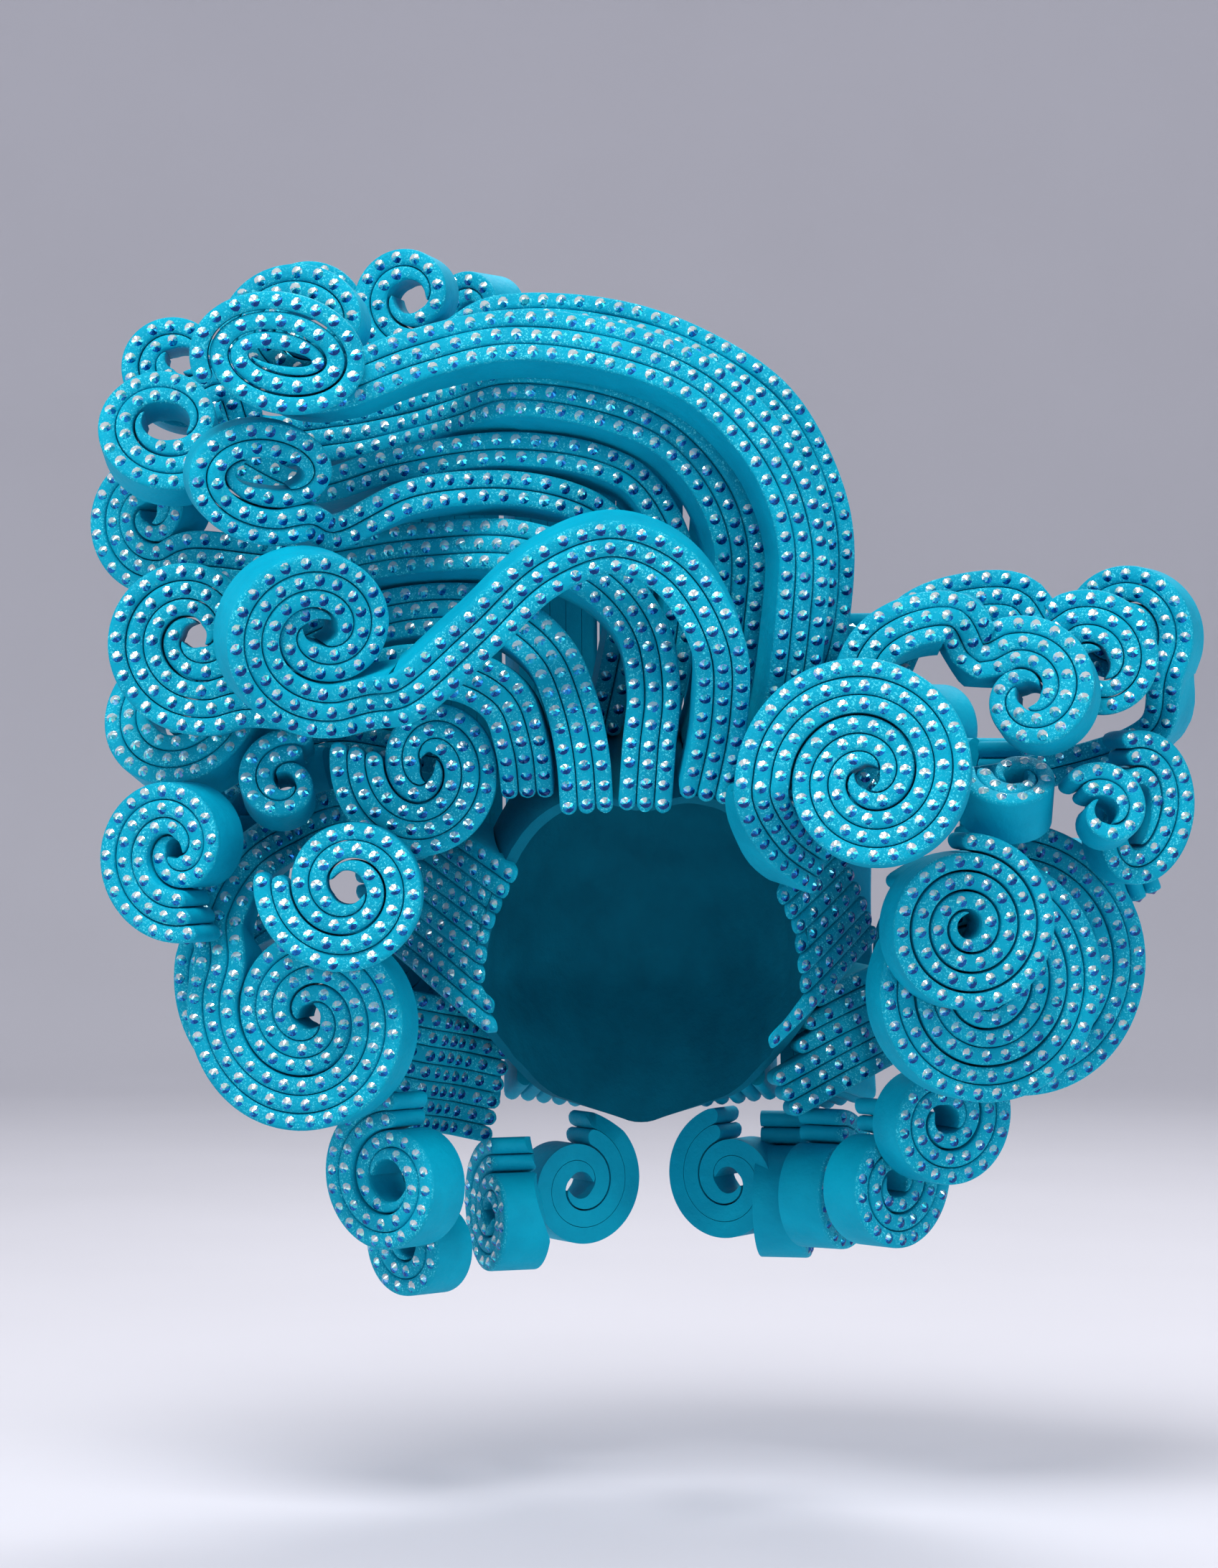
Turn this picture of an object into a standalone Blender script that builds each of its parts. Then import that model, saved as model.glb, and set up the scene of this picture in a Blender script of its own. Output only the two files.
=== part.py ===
"""A tall wig of foam strips wound into curls, worn on the head.

Lengths in the tables are millimetres. The wearer faces -Y, +X is to the right in the front view and +Z
is up.
The origin is where the crown of the head meets the inside of the cap.
"""
import math

import bmesh
import bpy
import numpy as np
from mathutils import Matrix, Vector
from mathutils.bvhtree import BVHTree

MM = 0.001

# The foam strip that every lock is made of
FOAM_COLOUR = (0.0, 0.33, 0.42)
FOAM_ROUGH = 0.5
STRIP_WIDE = 7.6
STRIP_DEEP = 22.0
RIB_DEEP = 2.0
TURN_GAP = 0.6
TURN_SEGMENTS = 10
TAIL_STEP = 22.5
LEAD_IN = 12.0
EYE_SHARE = 0.7
SMOOTH_STEPS = 8
SHARP_ANGLE = 40.0

# The hollow for the head and the cap round it
HEAD_WIDE = 75.0
HEAD_LONG = 95.0
HEAD_TALL = 115.0
NECK_TAPER = 0.0042
CAP_COLOUR = (0.0, 0.30, 0.38)
CAP_ROUGH = 0.7
CAP_THICK = 5.0
CAP_COLUMNS = 24
CAP_ROWS = 6
CAP_TOP_ROW = 0.06
CAP_ROW_BEND = 1.6
SEAT_GAP = 0.9
SWEEP_STEP = 42.0
SEAT_BELOW = 5.0
SEAT_LOW = -240.0
SEAT_SHARES = (0, 0.3, 0.5, 0.6, 0.7, 0.8, 0.9, 1)
HEAD_GAP = 1.0

# Places are read in the front view, on the upright plane through the middle of the head, and a depth behind
# it is given beside them. The eye is this far in front of that plane, at this place.
EYE_DISTANCE = 1900.0
EYE_ACROSS = -14.5
EYE_UP = -25.7

# How a lock is laid on what is behind it: the gap left, how far it may be moved as a whole, and how steeply
# it may be bent forward along its length to pass over another
REST_GAP = 0.5
NEAR_GAP = 0.8
PUSH_BACK = 70.0
PULL_OUT = 40.0
COARSE_STEP = 1.0
FINE_STEP = 0.05
STEEPEST_LIFT = 0.45
FAR_IN_FRONT = 60.0
NEAR_IN_FRONT = 26.0
ROOT_DEEP = 20.0
HEAD_HEART = (0.0, 10.0, -30.0)
SEEN_IN_FRONT = -0.75
LEAST_ALONG = 0.3
BACK_SHARES = (0.2, 0.5, 0.8)

# The lower edge of the cap, at angles round the head from the front
CAP_EDGE = [
    # angle, up
    (0, -38),
    (20, -33),
    (40, -37),
    (55, -52),
    (62, -80),
    (66, -118),
    (80, -121),
    (95, -119),
    (110, -136),
    (135, -164),
    (180, -180),
]

# Scrolls. across, up, depth: the centre of the open eye. turn, tilt: where the face looks, from the front to
# the right and upwards. reach: from the centre to the outer edge where the tail joins, at the angle start.
# long, slant: extra half length and its direction. eye: radius left open. hand: 1 winds in anticlockwise,
# -1 clockwise. sink: how far each turn lies behind the one round it.
SCROLLS = [
    # name, across, up, depth, turn, tilt, reach, long, slant, eye, strips, start, hand, sink
    ("pompadour_1", -162, 109, -120, 12, -10, 30, 8, 0, 6, 2, -80, -1, 2),
    ("pompadour_2", -208, 133, -52, 0, 16, 32, 2, 0, 8, 2, -60, -1, 0),
    ("pompadour_3", -201, 160, -38, 0, 5, 31, 2, 0, 5, 3, -70, -1, 0),
    ("pompadour_4", -148, 175, -82, -8, 5, 38, 4, 0, 6, 3, -80, -1, 2),
    ("pompadour_5", -102, 187, -30, -12, 0, 29, 0, 0, 7, 2, -80, -1, 0),
    ("swoosh", -139, 40, -106, 20, -12, 45, 2, 0, 5, 3, -75, -1, 3),
    ("hairline_1", -198, 40, -80, 0, 0, 43, 0, 0, 5, 3, -75, -1, 2),
    ("hairline_2", -206, 10, -34, -20, 20, 42, 0, 0, 12, 3, -10, -1, 0),
    ("hairline_3", -216, 93, -36, -28, 0, 37, 0, 0, 4, 3, -70, -1, 0),
    ("curl_left_1", -157, 160, -84, 4, -6, 29.5, 9, -8, 3, 1, 205, -1, 1),
    ("curl_left_2", -151, 188, -16, 0, 0, 35, 0, 0, 6, 2, -60, -1, 0),
    ("curl_left_3", -78, 187, 12, -34, 0, 27, 0, 0, 5, 2, -80, -1, 0),
    ("curl_left_4", -94, -18, -88, 0, 0, 42, 3, 80, 3, 3, 165, 1, 2),
    ("curl_left_5", -156, -24, -60, 0, 18, 25, 0, 0, 4, 2, 60, 1, 0),
    ("curl_left_6", -207, -54, -56, -24, 0, 41, 0, 0, 4, 3, -70, -1, 4),
    ("curl_left_7", -129, -71, -88, 0, 0, 39.5, 0, 0, 7, 2, 170, 1, 0),
    ("curl_left_8", -148, -128, -60, -16, 0, 55, 0, 0, 5, 3, 165, 1, 2),
    ("curl_left_9", -165, -118, -28, -20, 0, 54, 0, 0, 22, 3, 165, 1, 0),
    ("curl_left_10", -113, -199, -24, -38, 0, 38, 0, 0, 9, 2, 80, 1, 2),
    ("curl_left_11", -88, -225, -4, -45, 0, 31, 0, 0, 5, 2, 80, 1, 0),
    ("curl_left_12", -66, -213, 20, -68, 0, 34, 0, 0, 5, 2, 80, 1, 0),
    ("curl_left_13", -124, -100, 66, -130, 0, 40, 0, 0, 6, 2, 80, 1, 0),
    ("curl_left_14", -118, 66, 14, -84, 0, 36, 0, 0, 5, 3, 90, 1, 0),
    ("curl_left_15", -128, -52, 30, -70, 0, 36, 0, 0, 5, 3, 90, 1, 0),
    ("curl_right_1", 98, -22, -108, -6, 4, 54, 0, 0, 5, 3, 176, -1, 2),
    ("curl_right_2", 168, 14, -80, -14, 12, 35, 0, 0, 5, 3, 112, -1, 0),
    ("curl_right_3", 198, 26, -54, -4, 0, 34, 0, 0, 6, 3, 118, -1, 0),
    ("curl_right_4", 208, 41, -20, -20, 0, 33, 0, 0, 8, 2, -20, 1, 0),
    ("curl_right_5", 162, -36, -58, 0, 52, 25, 0, 0, 5, 2, 160, 1, 0),
    ("curl_right_6", 203, -37, -32, 6, 12, 23, 0, 0, 5, 2, 140, -1, 0),
    ("curl_right_7", 219, -40, -20, 16, 0, 30, 8, 80, 5, 2, 110, -1, 0),
    ("curl_right_8", 143, -88, -74, 12, 0, 39.5, 0, 0, 5, 1, 95, -1, 0),
    ("curl_right_9", 149, -114, -52, 14, 0, 59, 0, 0, 6, 2, 130, -1, 0),
    ("curl_right_10", 164, -108, -30, 14, 0, 66, 0, 0, 23, 3, 110, -1, 0),
    ("curl_right_11", 133, -172, -20, 25, 0, 37, 0, 0, 6, 2, 100, -1, 0),
    ("curl_right_12", 112, -200, 16, 40, 0, 37, 0, 0, 6, 2, 100, -1, 0),
    ("curl_right_13", 88, -202, 56, 58, 0, 36, 0, 0, 6, 2, 100, -1, 0),
    ("curl_right_14", 64, -204, 88, 78, 0, 38, 0, 0, 6, 2, 100, -1, 0),
    ("curl_right_16", 108, 14, 6, 76, 0, 36, 0, 0, 5, 3, 90, -1, 0),
    ("curl_right_17", 150, -42, 12, 60, 0, 36, 0, 0, 5, 3, 90, -1, 0),
    ("curl_back_1", -128, 100, 56, -130, 0, 40, 0, 0, 6, 3, 0, -1, 0),
    ("curl_back_2", -134, -10, 66, -130, 0, 46, 0, 0, 6, 3, 0, -1, 0),
    ("curl_back_3", 134, -6, 66, 130, 0, 42, 0, 0, 6, 3, 180, 1, 0),
    ("curl_back_4", 130, -96, 70, 130, 0, 42, 0, 0, 6, 3, 180, 1, 0),
    ("curl_back_5", -48, -200, 100, -150, 0, 34, 0, 0, 6, 2, 100, 1, 0),
    ("curl_back_6", 48, -200, 100, 150, 0, 34, 0, 0, 6, 2, 80, -1, 0),
]

# The way of each lock from its root to its scroll, or to its tucked end where it has no scroll
ROUTES = [
    # name, across, up, depth, turn, tilt
    ("curl_left_8", -92, -50, -16, 0, 0),
    ("curl_left_8", -134, -40, -26, -4, 0),
    ("curl_left_8", -168, -56, -30, -8, 0),
    ("curl_left_8", -186, -84, -40, -12, 0),
    ("curl_left_9", -92, -14, 0, -10, 0),
    ("curl_left_9", -150, -6, -8, -10, 0),
    ("curl_left_9", -192, -24, -16, -14, 0),
    ("curl_left_9", -208, -64, -24, -18, 0),
    ("sideburn_right", 44, -122, -64, 36, 0),
    ("sideburn_right", 60, -106, -54, 37, 0),
    ("sideburn_right", 78, -88, -39, 42, 0),
    ("sideburn_right", 96, -70, -20, 48, 0),
    ("sideburn_left", -52, -107, -57, -36, 0),
    ("sideburn_left", -68, -94, -46, -37, 0),
    ("sideburn_left", -86, -80, -30, -42, 0),
    ("sideburn_left", -102, -68, -11, -50, 0),
    ("pompadour_4", 46, -34, -34, 12, 2),
    ("pompadour_4", 60, 6, -48, 14, 6),
    ("pompadour_4", 66, 44, -60, 14, 8),
    ("pompadour_4", 67, 84, -68, 12, 10),
    ("pompadour_4", 53, 120, -74, 8, 12),
    ("pompadour_4", 24, 150, -77, 4, 14),
    ("pompadour_4", -16, 166, -78, 0, 14),
    ("pompadour_4", -61, 170.5, -78, 0, 14),
    ("pompadour_4", -100, 162, -80, 0, 10),
    ("pompadour_3", -84, 138.5, -64, 0, 12),
    ("pompadour_3", -107, 132, -42, 0, 10),
    ("pompadour_3", -132, 127, -33, 0, 8),
    ("pompadour_3", -172, 126, -33, 0, 6),
    ("pompadour_2", 6, -10, -46, 10, 0),
    ("pompadour_2", 15, 36, -56, 12, 4),
    ("pompadour_2", 16, 74, -65, 10, 6),
    ("pompadour_2", 0, 105, -72, 6, 10),
    ("pompadour_2", -19, 115.5, -76, 2, 12),
    ("pompadour_2", -61, 121, -76, 0, 12),
    ("pompadour_2", -108, 114, -74, 0, 8),
    ("pompadour_2", -150, 104, -60, 0, 12),
    ("pompadour_1", -18, -8, -42, 6, 0),
    ("pompadour_1", -8, 38, -52, 8, 4),
    ("pompadour_1", -3, 70, -60, 6, 6),
    ("pompadour_1", -17, 91, -69, 4, 8),
    ("pompadour_1", -34, 99.5, -78, 2, 8),
    ("pompadour_1", -61, 103.7, -80, 0, 8),
    ("pompadour_1", -100, 100, -91, 0, 2),
    ("pompadour_1", -134, 84, -100, 8, -6),
    ("pompadour_5", 50, -22, 0, 20, 0),
    ("pompadour_5", 76, 20, -16, 22, 6),
    ("pompadour_5", 85, 60, -24, 22, 8),
    ("pompadour_5", 82, 100, -30, 18, 12),
    ("pompadour_5", 60, 142, -36, 10, 16),
    ("pompadour_5", 22, 168, -38, 4, 18),
    ("pompadour_5", -24, 181, -38, 0, 18),
    ("pompadour_5", -66, 180, -34, 0, 14),
    ("swoosh", 26, -33, -72, 6, 0),
    ("swoosh", 33, 3, -86, 4, -6),
    ("swoosh", 32, 34, -102, 2, -14),
    ("swoosh", 13, 66, -108, 0, -16),
    ("swoosh", -14, 77, -110, 0, -16),
    ("swoosh", -44, 66, -108, 0, -16),
    ("swoosh", -74, 38, -106, 4, -14),
    ("swoosh", -104, 12, -104, 10, -12),
    ("hairline_1", -52, -32, -64, -4, 0),
    ("hairline_1", -55, -8, -80, -4, 0),
    ("hairline_1", -62, 11, -82, -4, 0),
    ("hairline_1", -79, 22, -82, -2, 0),
    ("hairline_1", -108, 24, -79, 0, 0),
    ("hairline_1", -146, 11, -79, 0, 0),
    ("hairline_2", -24, -39, -76, 0, 0),
    ("hairline_2", -26, -13, -83, 0, 4),
    ("hairline_2", -31, 10, -83, 0, 6),
    ("hairline_2", -41, 32, -76, 0, 6),
    ("hairline_2", -62, 48, -68, 0, 8),
    ("hairline_2", -98, 50.5, -58, 0, 10),
    ("hairline_2", -140, 38.5, -48, 0, 8),
    ("hairline_3", 1, -38, -78, 0, 0),
    ("hairline_3", 3, -9, -84, 0, 4),
    ("hairline_3", 5, 16, -85, 0, 8),
    ("hairline_3", 0, 42, -86, 0, 8),
    ("hairline_3", -18, 64, -85, 0, 10),
    ("hairline_3", -52, 78, -82, 0, 12),
    ("hairline_3", -100, 77.6, -65.5, 0, 12),
    ("hairline_3", -150, 70, -54, 0, 10),
    ("curl_right_1", 80, -64, -56, 20, 0),
    ("curl_right_1", 64, -52, -82, 10, 0),
    ("curl_right_2", 92, -20, -76, 10, 0),
    ("curl_right_2", 93, 10, -80, 4, 4),
    ("curl_right_2", 101, 34, -80, 0, 8),
    ("curl_right_2", 117, 45, -80, 0, 12),
    ("curl_right_2", 137, 47, -80, -8, 14),
    ("curl_right_3", 78, -33, -50, 12, 0),
    ("curl_right_3", 98, -8, -56, 8, 4),
    ("curl_right_3", 106, 24, -58, 4, 8),
    ("curl_right_3", 118, 46, -58, 0, 10),
    ("curl_right_3", 139, 55, -56, -4, 8),
    ("curl_right_3", 164, 55, -54, -4, 4),
    ("curl_right_4", 46, -32, 30, 40, 0),
    ("curl_right_4", 112, -28, 22, 0, 0),
    ("curl_right_4", 170, -20, 6, -10, 0),
    ("curl_right_4", 222, -2, -12, -20, 0),
    ("nape_right", 54, -149, 43, 0, 0),
    ("nape_right", 85.5, -132, 47, 8, 0),
    ("nape_right", 108, -121, 54, 24, 0),
    ("curl_right_15", 240, -80, 2, 40, -50),
    ("curl_right_15", 228, -78, 34, 40, -50),
    ("curl_right_15", 200, -76, 66, 60, -40),
    ("nape_left", -54, -156, 42, 6, 0),
    ("nape_left", -82, -150, 34, 10, 0),
    ("nape_left", -112, -144, 26, 14, 0),
]

# Locks that run beside another over its first rows: how far inwards from it, and how far in front of it
BESIDE = [
    # name, guide, rows, inward, forward
    ("pompadour_3", "pompadour_4", 8, 25.4, 1.5),
]

# Strips side by side in the locks that have no scroll
LOCK_STRIPS = {"curl_right_15": 3, "nape_left": 8, "nape_right": 7, "sideburn_left": 9, "sideburn_right": 7}

# The order in which the locks are laid, from the back to the front
LAY_ORDER = [
    "nape_left", "nape_right", "sideburn_left", "sideburn_right", "curl_back_1", "curl_back_2",
    "curl_back_3", "curl_back_4", "curl_back_5", "curl_back_6", "curl_left_14", "curl_left_15",
    "curl_right_16", "curl_right_17", "curl_left_13", "curl_left_12", "curl_left_11", "curl_left_10",
    "curl_right_14", "curl_right_13", "curl_right_12", "curl_right_11", "curl_left_3", "pompadour_5",
    "curl_left_2", "pompadour_3", "pompadour_4", "hairline_3", "pompadour_2", "curl_left_1",
    "pompadour_1", "hairline_2", "curl_left_9", "curl_left_8", "curl_left_5", "hairline_1",
    "curl_left_6", "curl_left_4", "swoosh", "curl_left_7", "curl_right_10", "curl_right_9",
    "curl_right_4", "curl_right_7", "curl_right_15", "curl_right_8", "curl_right_6", "curl_right_5",
    "curl_right_3", "curl_right_2", "curl_right_1",
]

# Locks laid before, that a lock's tail passes under
PASSES_UNDER = {
    "pompadour_1": ["hairline_3"],
    "pompadour_2": ["hairline_3"],
}

# Locks whose strips show as ribs on the plain form
RIBBED = ["pompadour_1", "pompadour_2", "pompadour_3", "pompadour_4", "swoosh", "hairline_1", "hairline_2",
          "hairline_3", "curl_right_1"]

# Locks down the back of the head, side by side, each in an upright plane
SWEEP_STRIPS = 5
SWEEPS = [
    # name, across, turn, scale, high
    ("sweep_1", 0, 180, 1.0, 1.0),
    ("sweep_2", -45, 200, 0.95, 1.0),
    ("sweep_3", 45, 160, 0.95, 0.78),
    ("sweep_4", -92, 222, 0.8, 0.9),
    ("sweep_5", 92, 138, 0.8, 0.27),
]
SWEEP_PROFILE = [
    # depth, up, tilt
    (0, 163, 80),
    (34, 156, 62),
    (82, 118, 40),
    (112, 52, 16),
    (124, -36, 2),
    (122, -112, -6),
    (96, -172, -24),
]


def unit(v):
    return v / np.linalg.norm(v)


def facing(turn, tilt):
    """Direction that a face looks in, from the front round to the right, and up."""
    a, e = math.radians(turn), math.radians(tilt)
    return np.array([math.sin(a) * math.cos(e), -math.cos(a) * math.cos(e), math.sin(e)])


def place(across, up, depth):
    """Point at a depth that the front view shows at this place."""
    share = (depth + EYE_DISTANCE) / EYE_DISTANCE
    return np.array([EYE_ACROSS + (across - EYE_ACROSS) * share, depth, EYE_UP + (up - EYE_UP) * share])


def smooth_curve(points, per_span):
    """Centripetal Catmull-Rom curve through points of any dimension."""
    p = np.asarray(points, float)
    ext = np.vstack([2 * p[0] - p[1], p, 2 * p[-1] - p[-2]])
    out = []
    for i in range(1, len(ext) - 2):
        q = ext[i - 1:i + 3]
        chords = [np.linalg.norm(b[:3] - a[:3]) ** 0.5 for a, b in zip(q, q[1:])]
        t = np.concatenate([[0], np.cumsum(chords)])
        for s in range(per_span):
            x = t[1] + (t[2] - t[1]) * s / per_span
            a = [((t[k + 1] - x) * q[k] + (x - t[k]) * q[k + 1]) / (t[k + 1] - t[k]) for k in range(3)]
            b = [((t[k + 2] - x) * a[k] + (x - t[k]) * a[k + 1]) / (t[k + 2] - t[k]) for k in range(2)]
            out.append(((t[2] - x) * b[0] + (x - t[1]) * b[1]) / (t[2] - t[1]))
    out.append(p[-1])
    return np.array(out)


def even_steps(curve, step):
    """Points at even steps along a curve."""
    run = np.concatenate([[0], np.cumsum(np.linalg.norm(np.diff(curve[:, :3], axis=0), axis=1))])
    count = max(2, round(run[-1] / step) + 1)
    at = np.linspace(0, run[-1], count)
    return np.stack([np.interp(at, run, curve[:, k]) for k in range(curve.shape[1])], 1)


def scroll_stations(scroll, segments):
    """Stations of a scroll from its tail inwards: outer edge, inner edge, face direction."""
    _, across, up, depth, turn, tilt, reach, long, slant, eye, strips, start, hand, sink = scroll
    face = facing(turn, tilt)
    level = unit(np.cross((0, 0, 1), face))
    upright = np.cross(face, level)
    lean = math.radians(slant)
    u = level * math.cos(lean) + upright * math.sin(lean)
    v = upright * math.cos(lean) - level * math.sin(lean)
    centre = place(across, up, depth)
    pitch = strips * STRIP_WIDE + TURN_GAP
    turns = (reach - eye - EYE_SHARE * STRIP_WIDE) / pitch
    count = math.ceil(turns * segments)
    stations = []
    for k in range(count + 1):
        done = min(k / segments, turns)
        angle = math.radians(start - slant) + hand * 2 * math.pi * done
        out = u * math.cos(angle) + v * math.sin(angle)
        base = centre + u * (long * math.cos(angle)) - face * (sink * done)
        outer = reach - pitch * done
        inner = max(outer - strips * STRIP_WIDE, eye)
        stations.append((base + out * outer, base + out * inner, face))
    return stations


def guided_rows(name):
    """Rows of a lock that runs beside its guide: the guide's first rows, moved inwards and forward."""
    rows = []
    for own, guide, count, inward, forward in BESIDE:
        if own != name:
            continue
        way = np.array([(*place(*r[1:4]), *facing(*r[4:])) for r in ROUTES if r[0] == guide])
        along = np.gradient(way[:, :3], axis=0)
        for row, t in list(zip(way, along))[:count]:
            side = unit(np.cross(t, row[3:]))
            rows.append((*(row[:3] - side * inward + row[3:] * forward), *row[3:]))
    return rows


def tail_path(name, scroll, joint):
    """Fine curve of the middle of a lock's tail and its face, up to its scroll where it has one."""
    rows = guided_rows(name)
    rows += [(*place(*r[1:4]), *facing(*r[4:])) for r in ROUTES if r[0] == name]
    if scroll and rows:
        outer, inner, face = joint
        middle = (outer + inner) / 2
        forward = scroll[12] * np.cross(face, unit(outer - inner))
        rows.append((*(middle - forward * LEAD_IN), *face))
        rows.append((*middle, *face))
    return smooth_curve(rows, SMOOTH_STEPS) if rows else None


def path_stations(path, strips, hand):
    """Stations at the points of a path that carries a face direction."""
    along = np.gradient(path[:, :3], axis=0)
    stations = []
    for row, t in zip(path, along):
        t = unit(t)
        f = unit(row[3:] - t * np.dot(row[3:], t))
        half = hand * unit(np.cross(t, f)) * strips * STRIP_WIDE / 2
        stations.append((row[:3] + half, row[:3] - half, f))
    return stations


def scroll_of(name):
    return next((row for row in SCROLLS if row[0] == name), None)


def lock_stations(name, step=TAIL_STEP, segments=TURN_SEGMENTS):
    """Stations of a lock's tail and of its scroll, and how many strips lie side by side in it."""
    scroll = scroll_of(name)
    strips = scroll[10] if scroll else LOCK_STRIPS[name]
    wound = scroll_stations(scroll, segments) if scroll else []
    path = tail_path(name, scroll, wound[0] if wound else None)
    tail = []
    if path is not None:
        tail = path_stations(even_steps(path, step), strips, scroll[12] if scroll else 1)
        tail = tail[:-1] if wound else tail
    return tail, wound, strips


def section(outer, inner, face, ribs):
    """Corners of a bundle's section: the stoned face from the inner to the outer edge, then the back."""
    corners = []
    for k in range(2 * ribs + 1 if ribs else 2):
        share = k / (2 * ribs) if ribs else k
        sunk = RIB_DEEP if ribs and k % 2 == 0 and 0 < k < 2 * ribs else 0
        corners.append(inner + (outer - inner) * share - face * sunk)
    return corners + [outer - face * STRIP_DEEP, inner - face * STRIP_DEEP]


def join_rings(bm, a, b):
    """Faces between two rings of corners."""
    for i in range(len(a)):
        j = (i + 1) % len(a)
        bm.faces.new((a[i], a[j], b[j], b[i]))


def loft(rings):
    """Closed mesh through rings of corners."""
    bm = bmesh.new()
    loops = [[bm.verts.new(Vector(p) * MM) for p in ring] for ring in rings]
    for a, b in zip(loops, loops[1:]):
        join_rings(bm, a, b)
    bm.faces.new(loops[0])
    bm.faces.new(reversed(loops[-1]))
    bmesh.ops.recalc_face_normals(bm, faces=bm.faces)
    return bm


def add_object(name, bm, material):
    """Object from a mesh being built, shaded smooth apart from its edges."""
    mesh = bpy.data.meshes.new(name)
    bm.to_mesh(mesh)
    bm.free()
    mesh.shade_smooth()
    mesh.set_sharp_from_angle(angle=math.radians(SHARP_ANGLE))
    mesh.materials.append(material)
    item = bpy.data.objects.new(name, mesh)
    bpy.context.scene.collection.objects.link(item)
    return item


def foam_material(name, colour, roughness):
    material = bpy.data.materials.new(name)
    material.use_nodes = True
    shader = material.node_tree.nodes["Principled BSDF"]
    shader.inputs["Base Color"].default_value = (*colour, 1.0)
    shader.inputs["Roughness"].default_value = roughness
    return material


def head_point(angle, up, out):
    """Point on the head at an angle from the front and a height, moved out from its surface."""
    above = up > -HEAD_TALL
    if above:
        size = math.sqrt(max(1 - ((up + HEAD_TALL) / HEAD_TALL) ** 2, 0))
    else:
        size = 1 + NECK_TAPER * (up + HEAD_TALL)
    a = math.radians(angle)
    wide, long = HEAD_WIDE * size, HEAD_LONG * size
    point = np.array([wide * math.sin(a), -long * math.cos(a), up])
    rise = (up + HEAD_TALL) / HEAD_TALL ** 2 if above else 0.0
    normal = np.array([point[0] / HEAD_WIDE ** 2, point[1] / HEAD_LONG ** 2, rise])
    return point + unit(normal) * out


def cap_edge(angle):
    """Height of the cap's edge at an angle from the front, the same on both sides."""
    angles = [row[0] for row in CAP_EDGE]
    ups = [row[1] for row in CAP_EDGE]
    turn = abs((angle + 180) % 360 - 180)
    return float(np.interp(turn, angles, ups))


def cap_rings(out):
    """Rings of the cap's surface from its edge to near the crown, at one distance out from the head."""
    rings = []
    for row in range(CAP_ROWS):
        share = row / (CAP_ROWS - 1)
        ring = []
        for column in range(CAP_COLUMNS):
            angle = 360 * column / CAP_COLUMNS
            edge = cap_edge(angle)
            left = (1 - share) ** CAP_ROW_BEND
            up = edge * left - HEAD_TALL * CAP_TOP_ROW * (1 - left)
            ring.append(head_point(angle, up, out))
        rings.append(ring)
    return rings


def join_by_halves(bm, a, b):
    """Triangles between two rings of corners, with every diagonal the same way."""
    for i in range(len(a)):
        j = (i + 1) % len(a)
        bm.faces.new((a[i], a[j], b[j]))
        bm.faces.new((a[i], b[j], b[i]))


def dome(bm, rings, top):
    """Faces through rings of points from the lowest up to a point over them. Gives back the lowest ring."""
    loops = [[bm.verts.new(Vector(p) * MM) for p in ring] for ring in rings]
    peak = bm.verts.new(Vector((0, 0, top)) * MM)
    for a, b in zip(loops, loops[1:]):
        join_by_halves(bm, a, b)
    for i in range(CAP_COLUMNS):
        bm.faces.new((loops[-1][i], loops[-1][(i + 1) % CAP_COLUMNS], peak))
    return loops[0]


def cap_shell():
    """The cap: a shell between its inner and its outer surface, closed over the crown."""
    bm = bmesh.new()
    inside = dome(bm, cap_rings(0), 0)
    outside = dome(bm, cap_rings(CAP_THICK), CAP_THICK)
    join_rings(bm, inside, outside)
    bmesh.ops.recalc_face_normals(bm, faces=bm.faces)
    return bm


def seat_shape():
    """Solid of the head and the cap, a little larger, down to the neck: what no lock may reach into."""
    bm = bmesh.new()
    angles = [360 * column / CAP_COLUMNS for column in range(CAP_COLUMNS)]
    lower = []
    for share in SEAT_SHARES:
        ups = [SEAT_LOW + (cap_edge(a) - SEAT_BELOW - SEAT_LOW) * share for a in angles]
        lower.append([head_point(a, up, HEAD_GAP) for a, up in zip(angles, ups)])
    out = CAP_THICK + SEAT_GAP
    skirt = [head_point(a, cap_edge(a) - SEAT_BELOW, out) for a in angles]
    lowest = dome(bm, lower + [skirt] + cap_rings(out), out)
    bm.faces.new(lowest)
    bmesh.ops.recalc_face_normals(bm, faces=bm.faces)
    return bm


def sweep_stations(across, turn, scale, high, step=SWEEP_STEP):
    """Stations of a lock that runs from the top down the back."""
    rows = []
    for depth, up, tilt in SWEEP_PROFILE:
        rows.append((across, depth * scale, up * high if up > 0 else up, *facing(turn, tilt)))
    return path_stations(even_steps(smooth_curve(rows, SMOOTH_STEPS), step), SWEEP_STRIPS, 1)


def world_tree(item, move):
    """The object's surface, moved, for finding what it meets."""
    points = [v.co / MM + move for v in item.data.vertices]
    return BVHTree.FromPolygons(points, [p.vertices[:] for p in item.data.polygons]), points


def box_of(points):
    cloud = np.array([p[:] for p in points])
    return cloud.min(0), cloud.max(0)


def is_clear(item, move, laid, gap=REST_GAP):
    """Whether an object that is moved stays clear of all that is laid."""
    tree, points = world_tree(item, Vector(move))
    low, high = box_of(points)
    for other_tree, other_points, other_low, other_high, _ in laid:
        if (low > other_high + gap).any() or (high < other_low - gap).any():
            continue
        if tree.overlap(other_tree):
            return False
        if any(other_tree.find_nearest(p, gap)[0] for p in points):
            return False
        if any(tree.find_nearest(p, gap)[0] for p in other_points):
            return False
    return True


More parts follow.
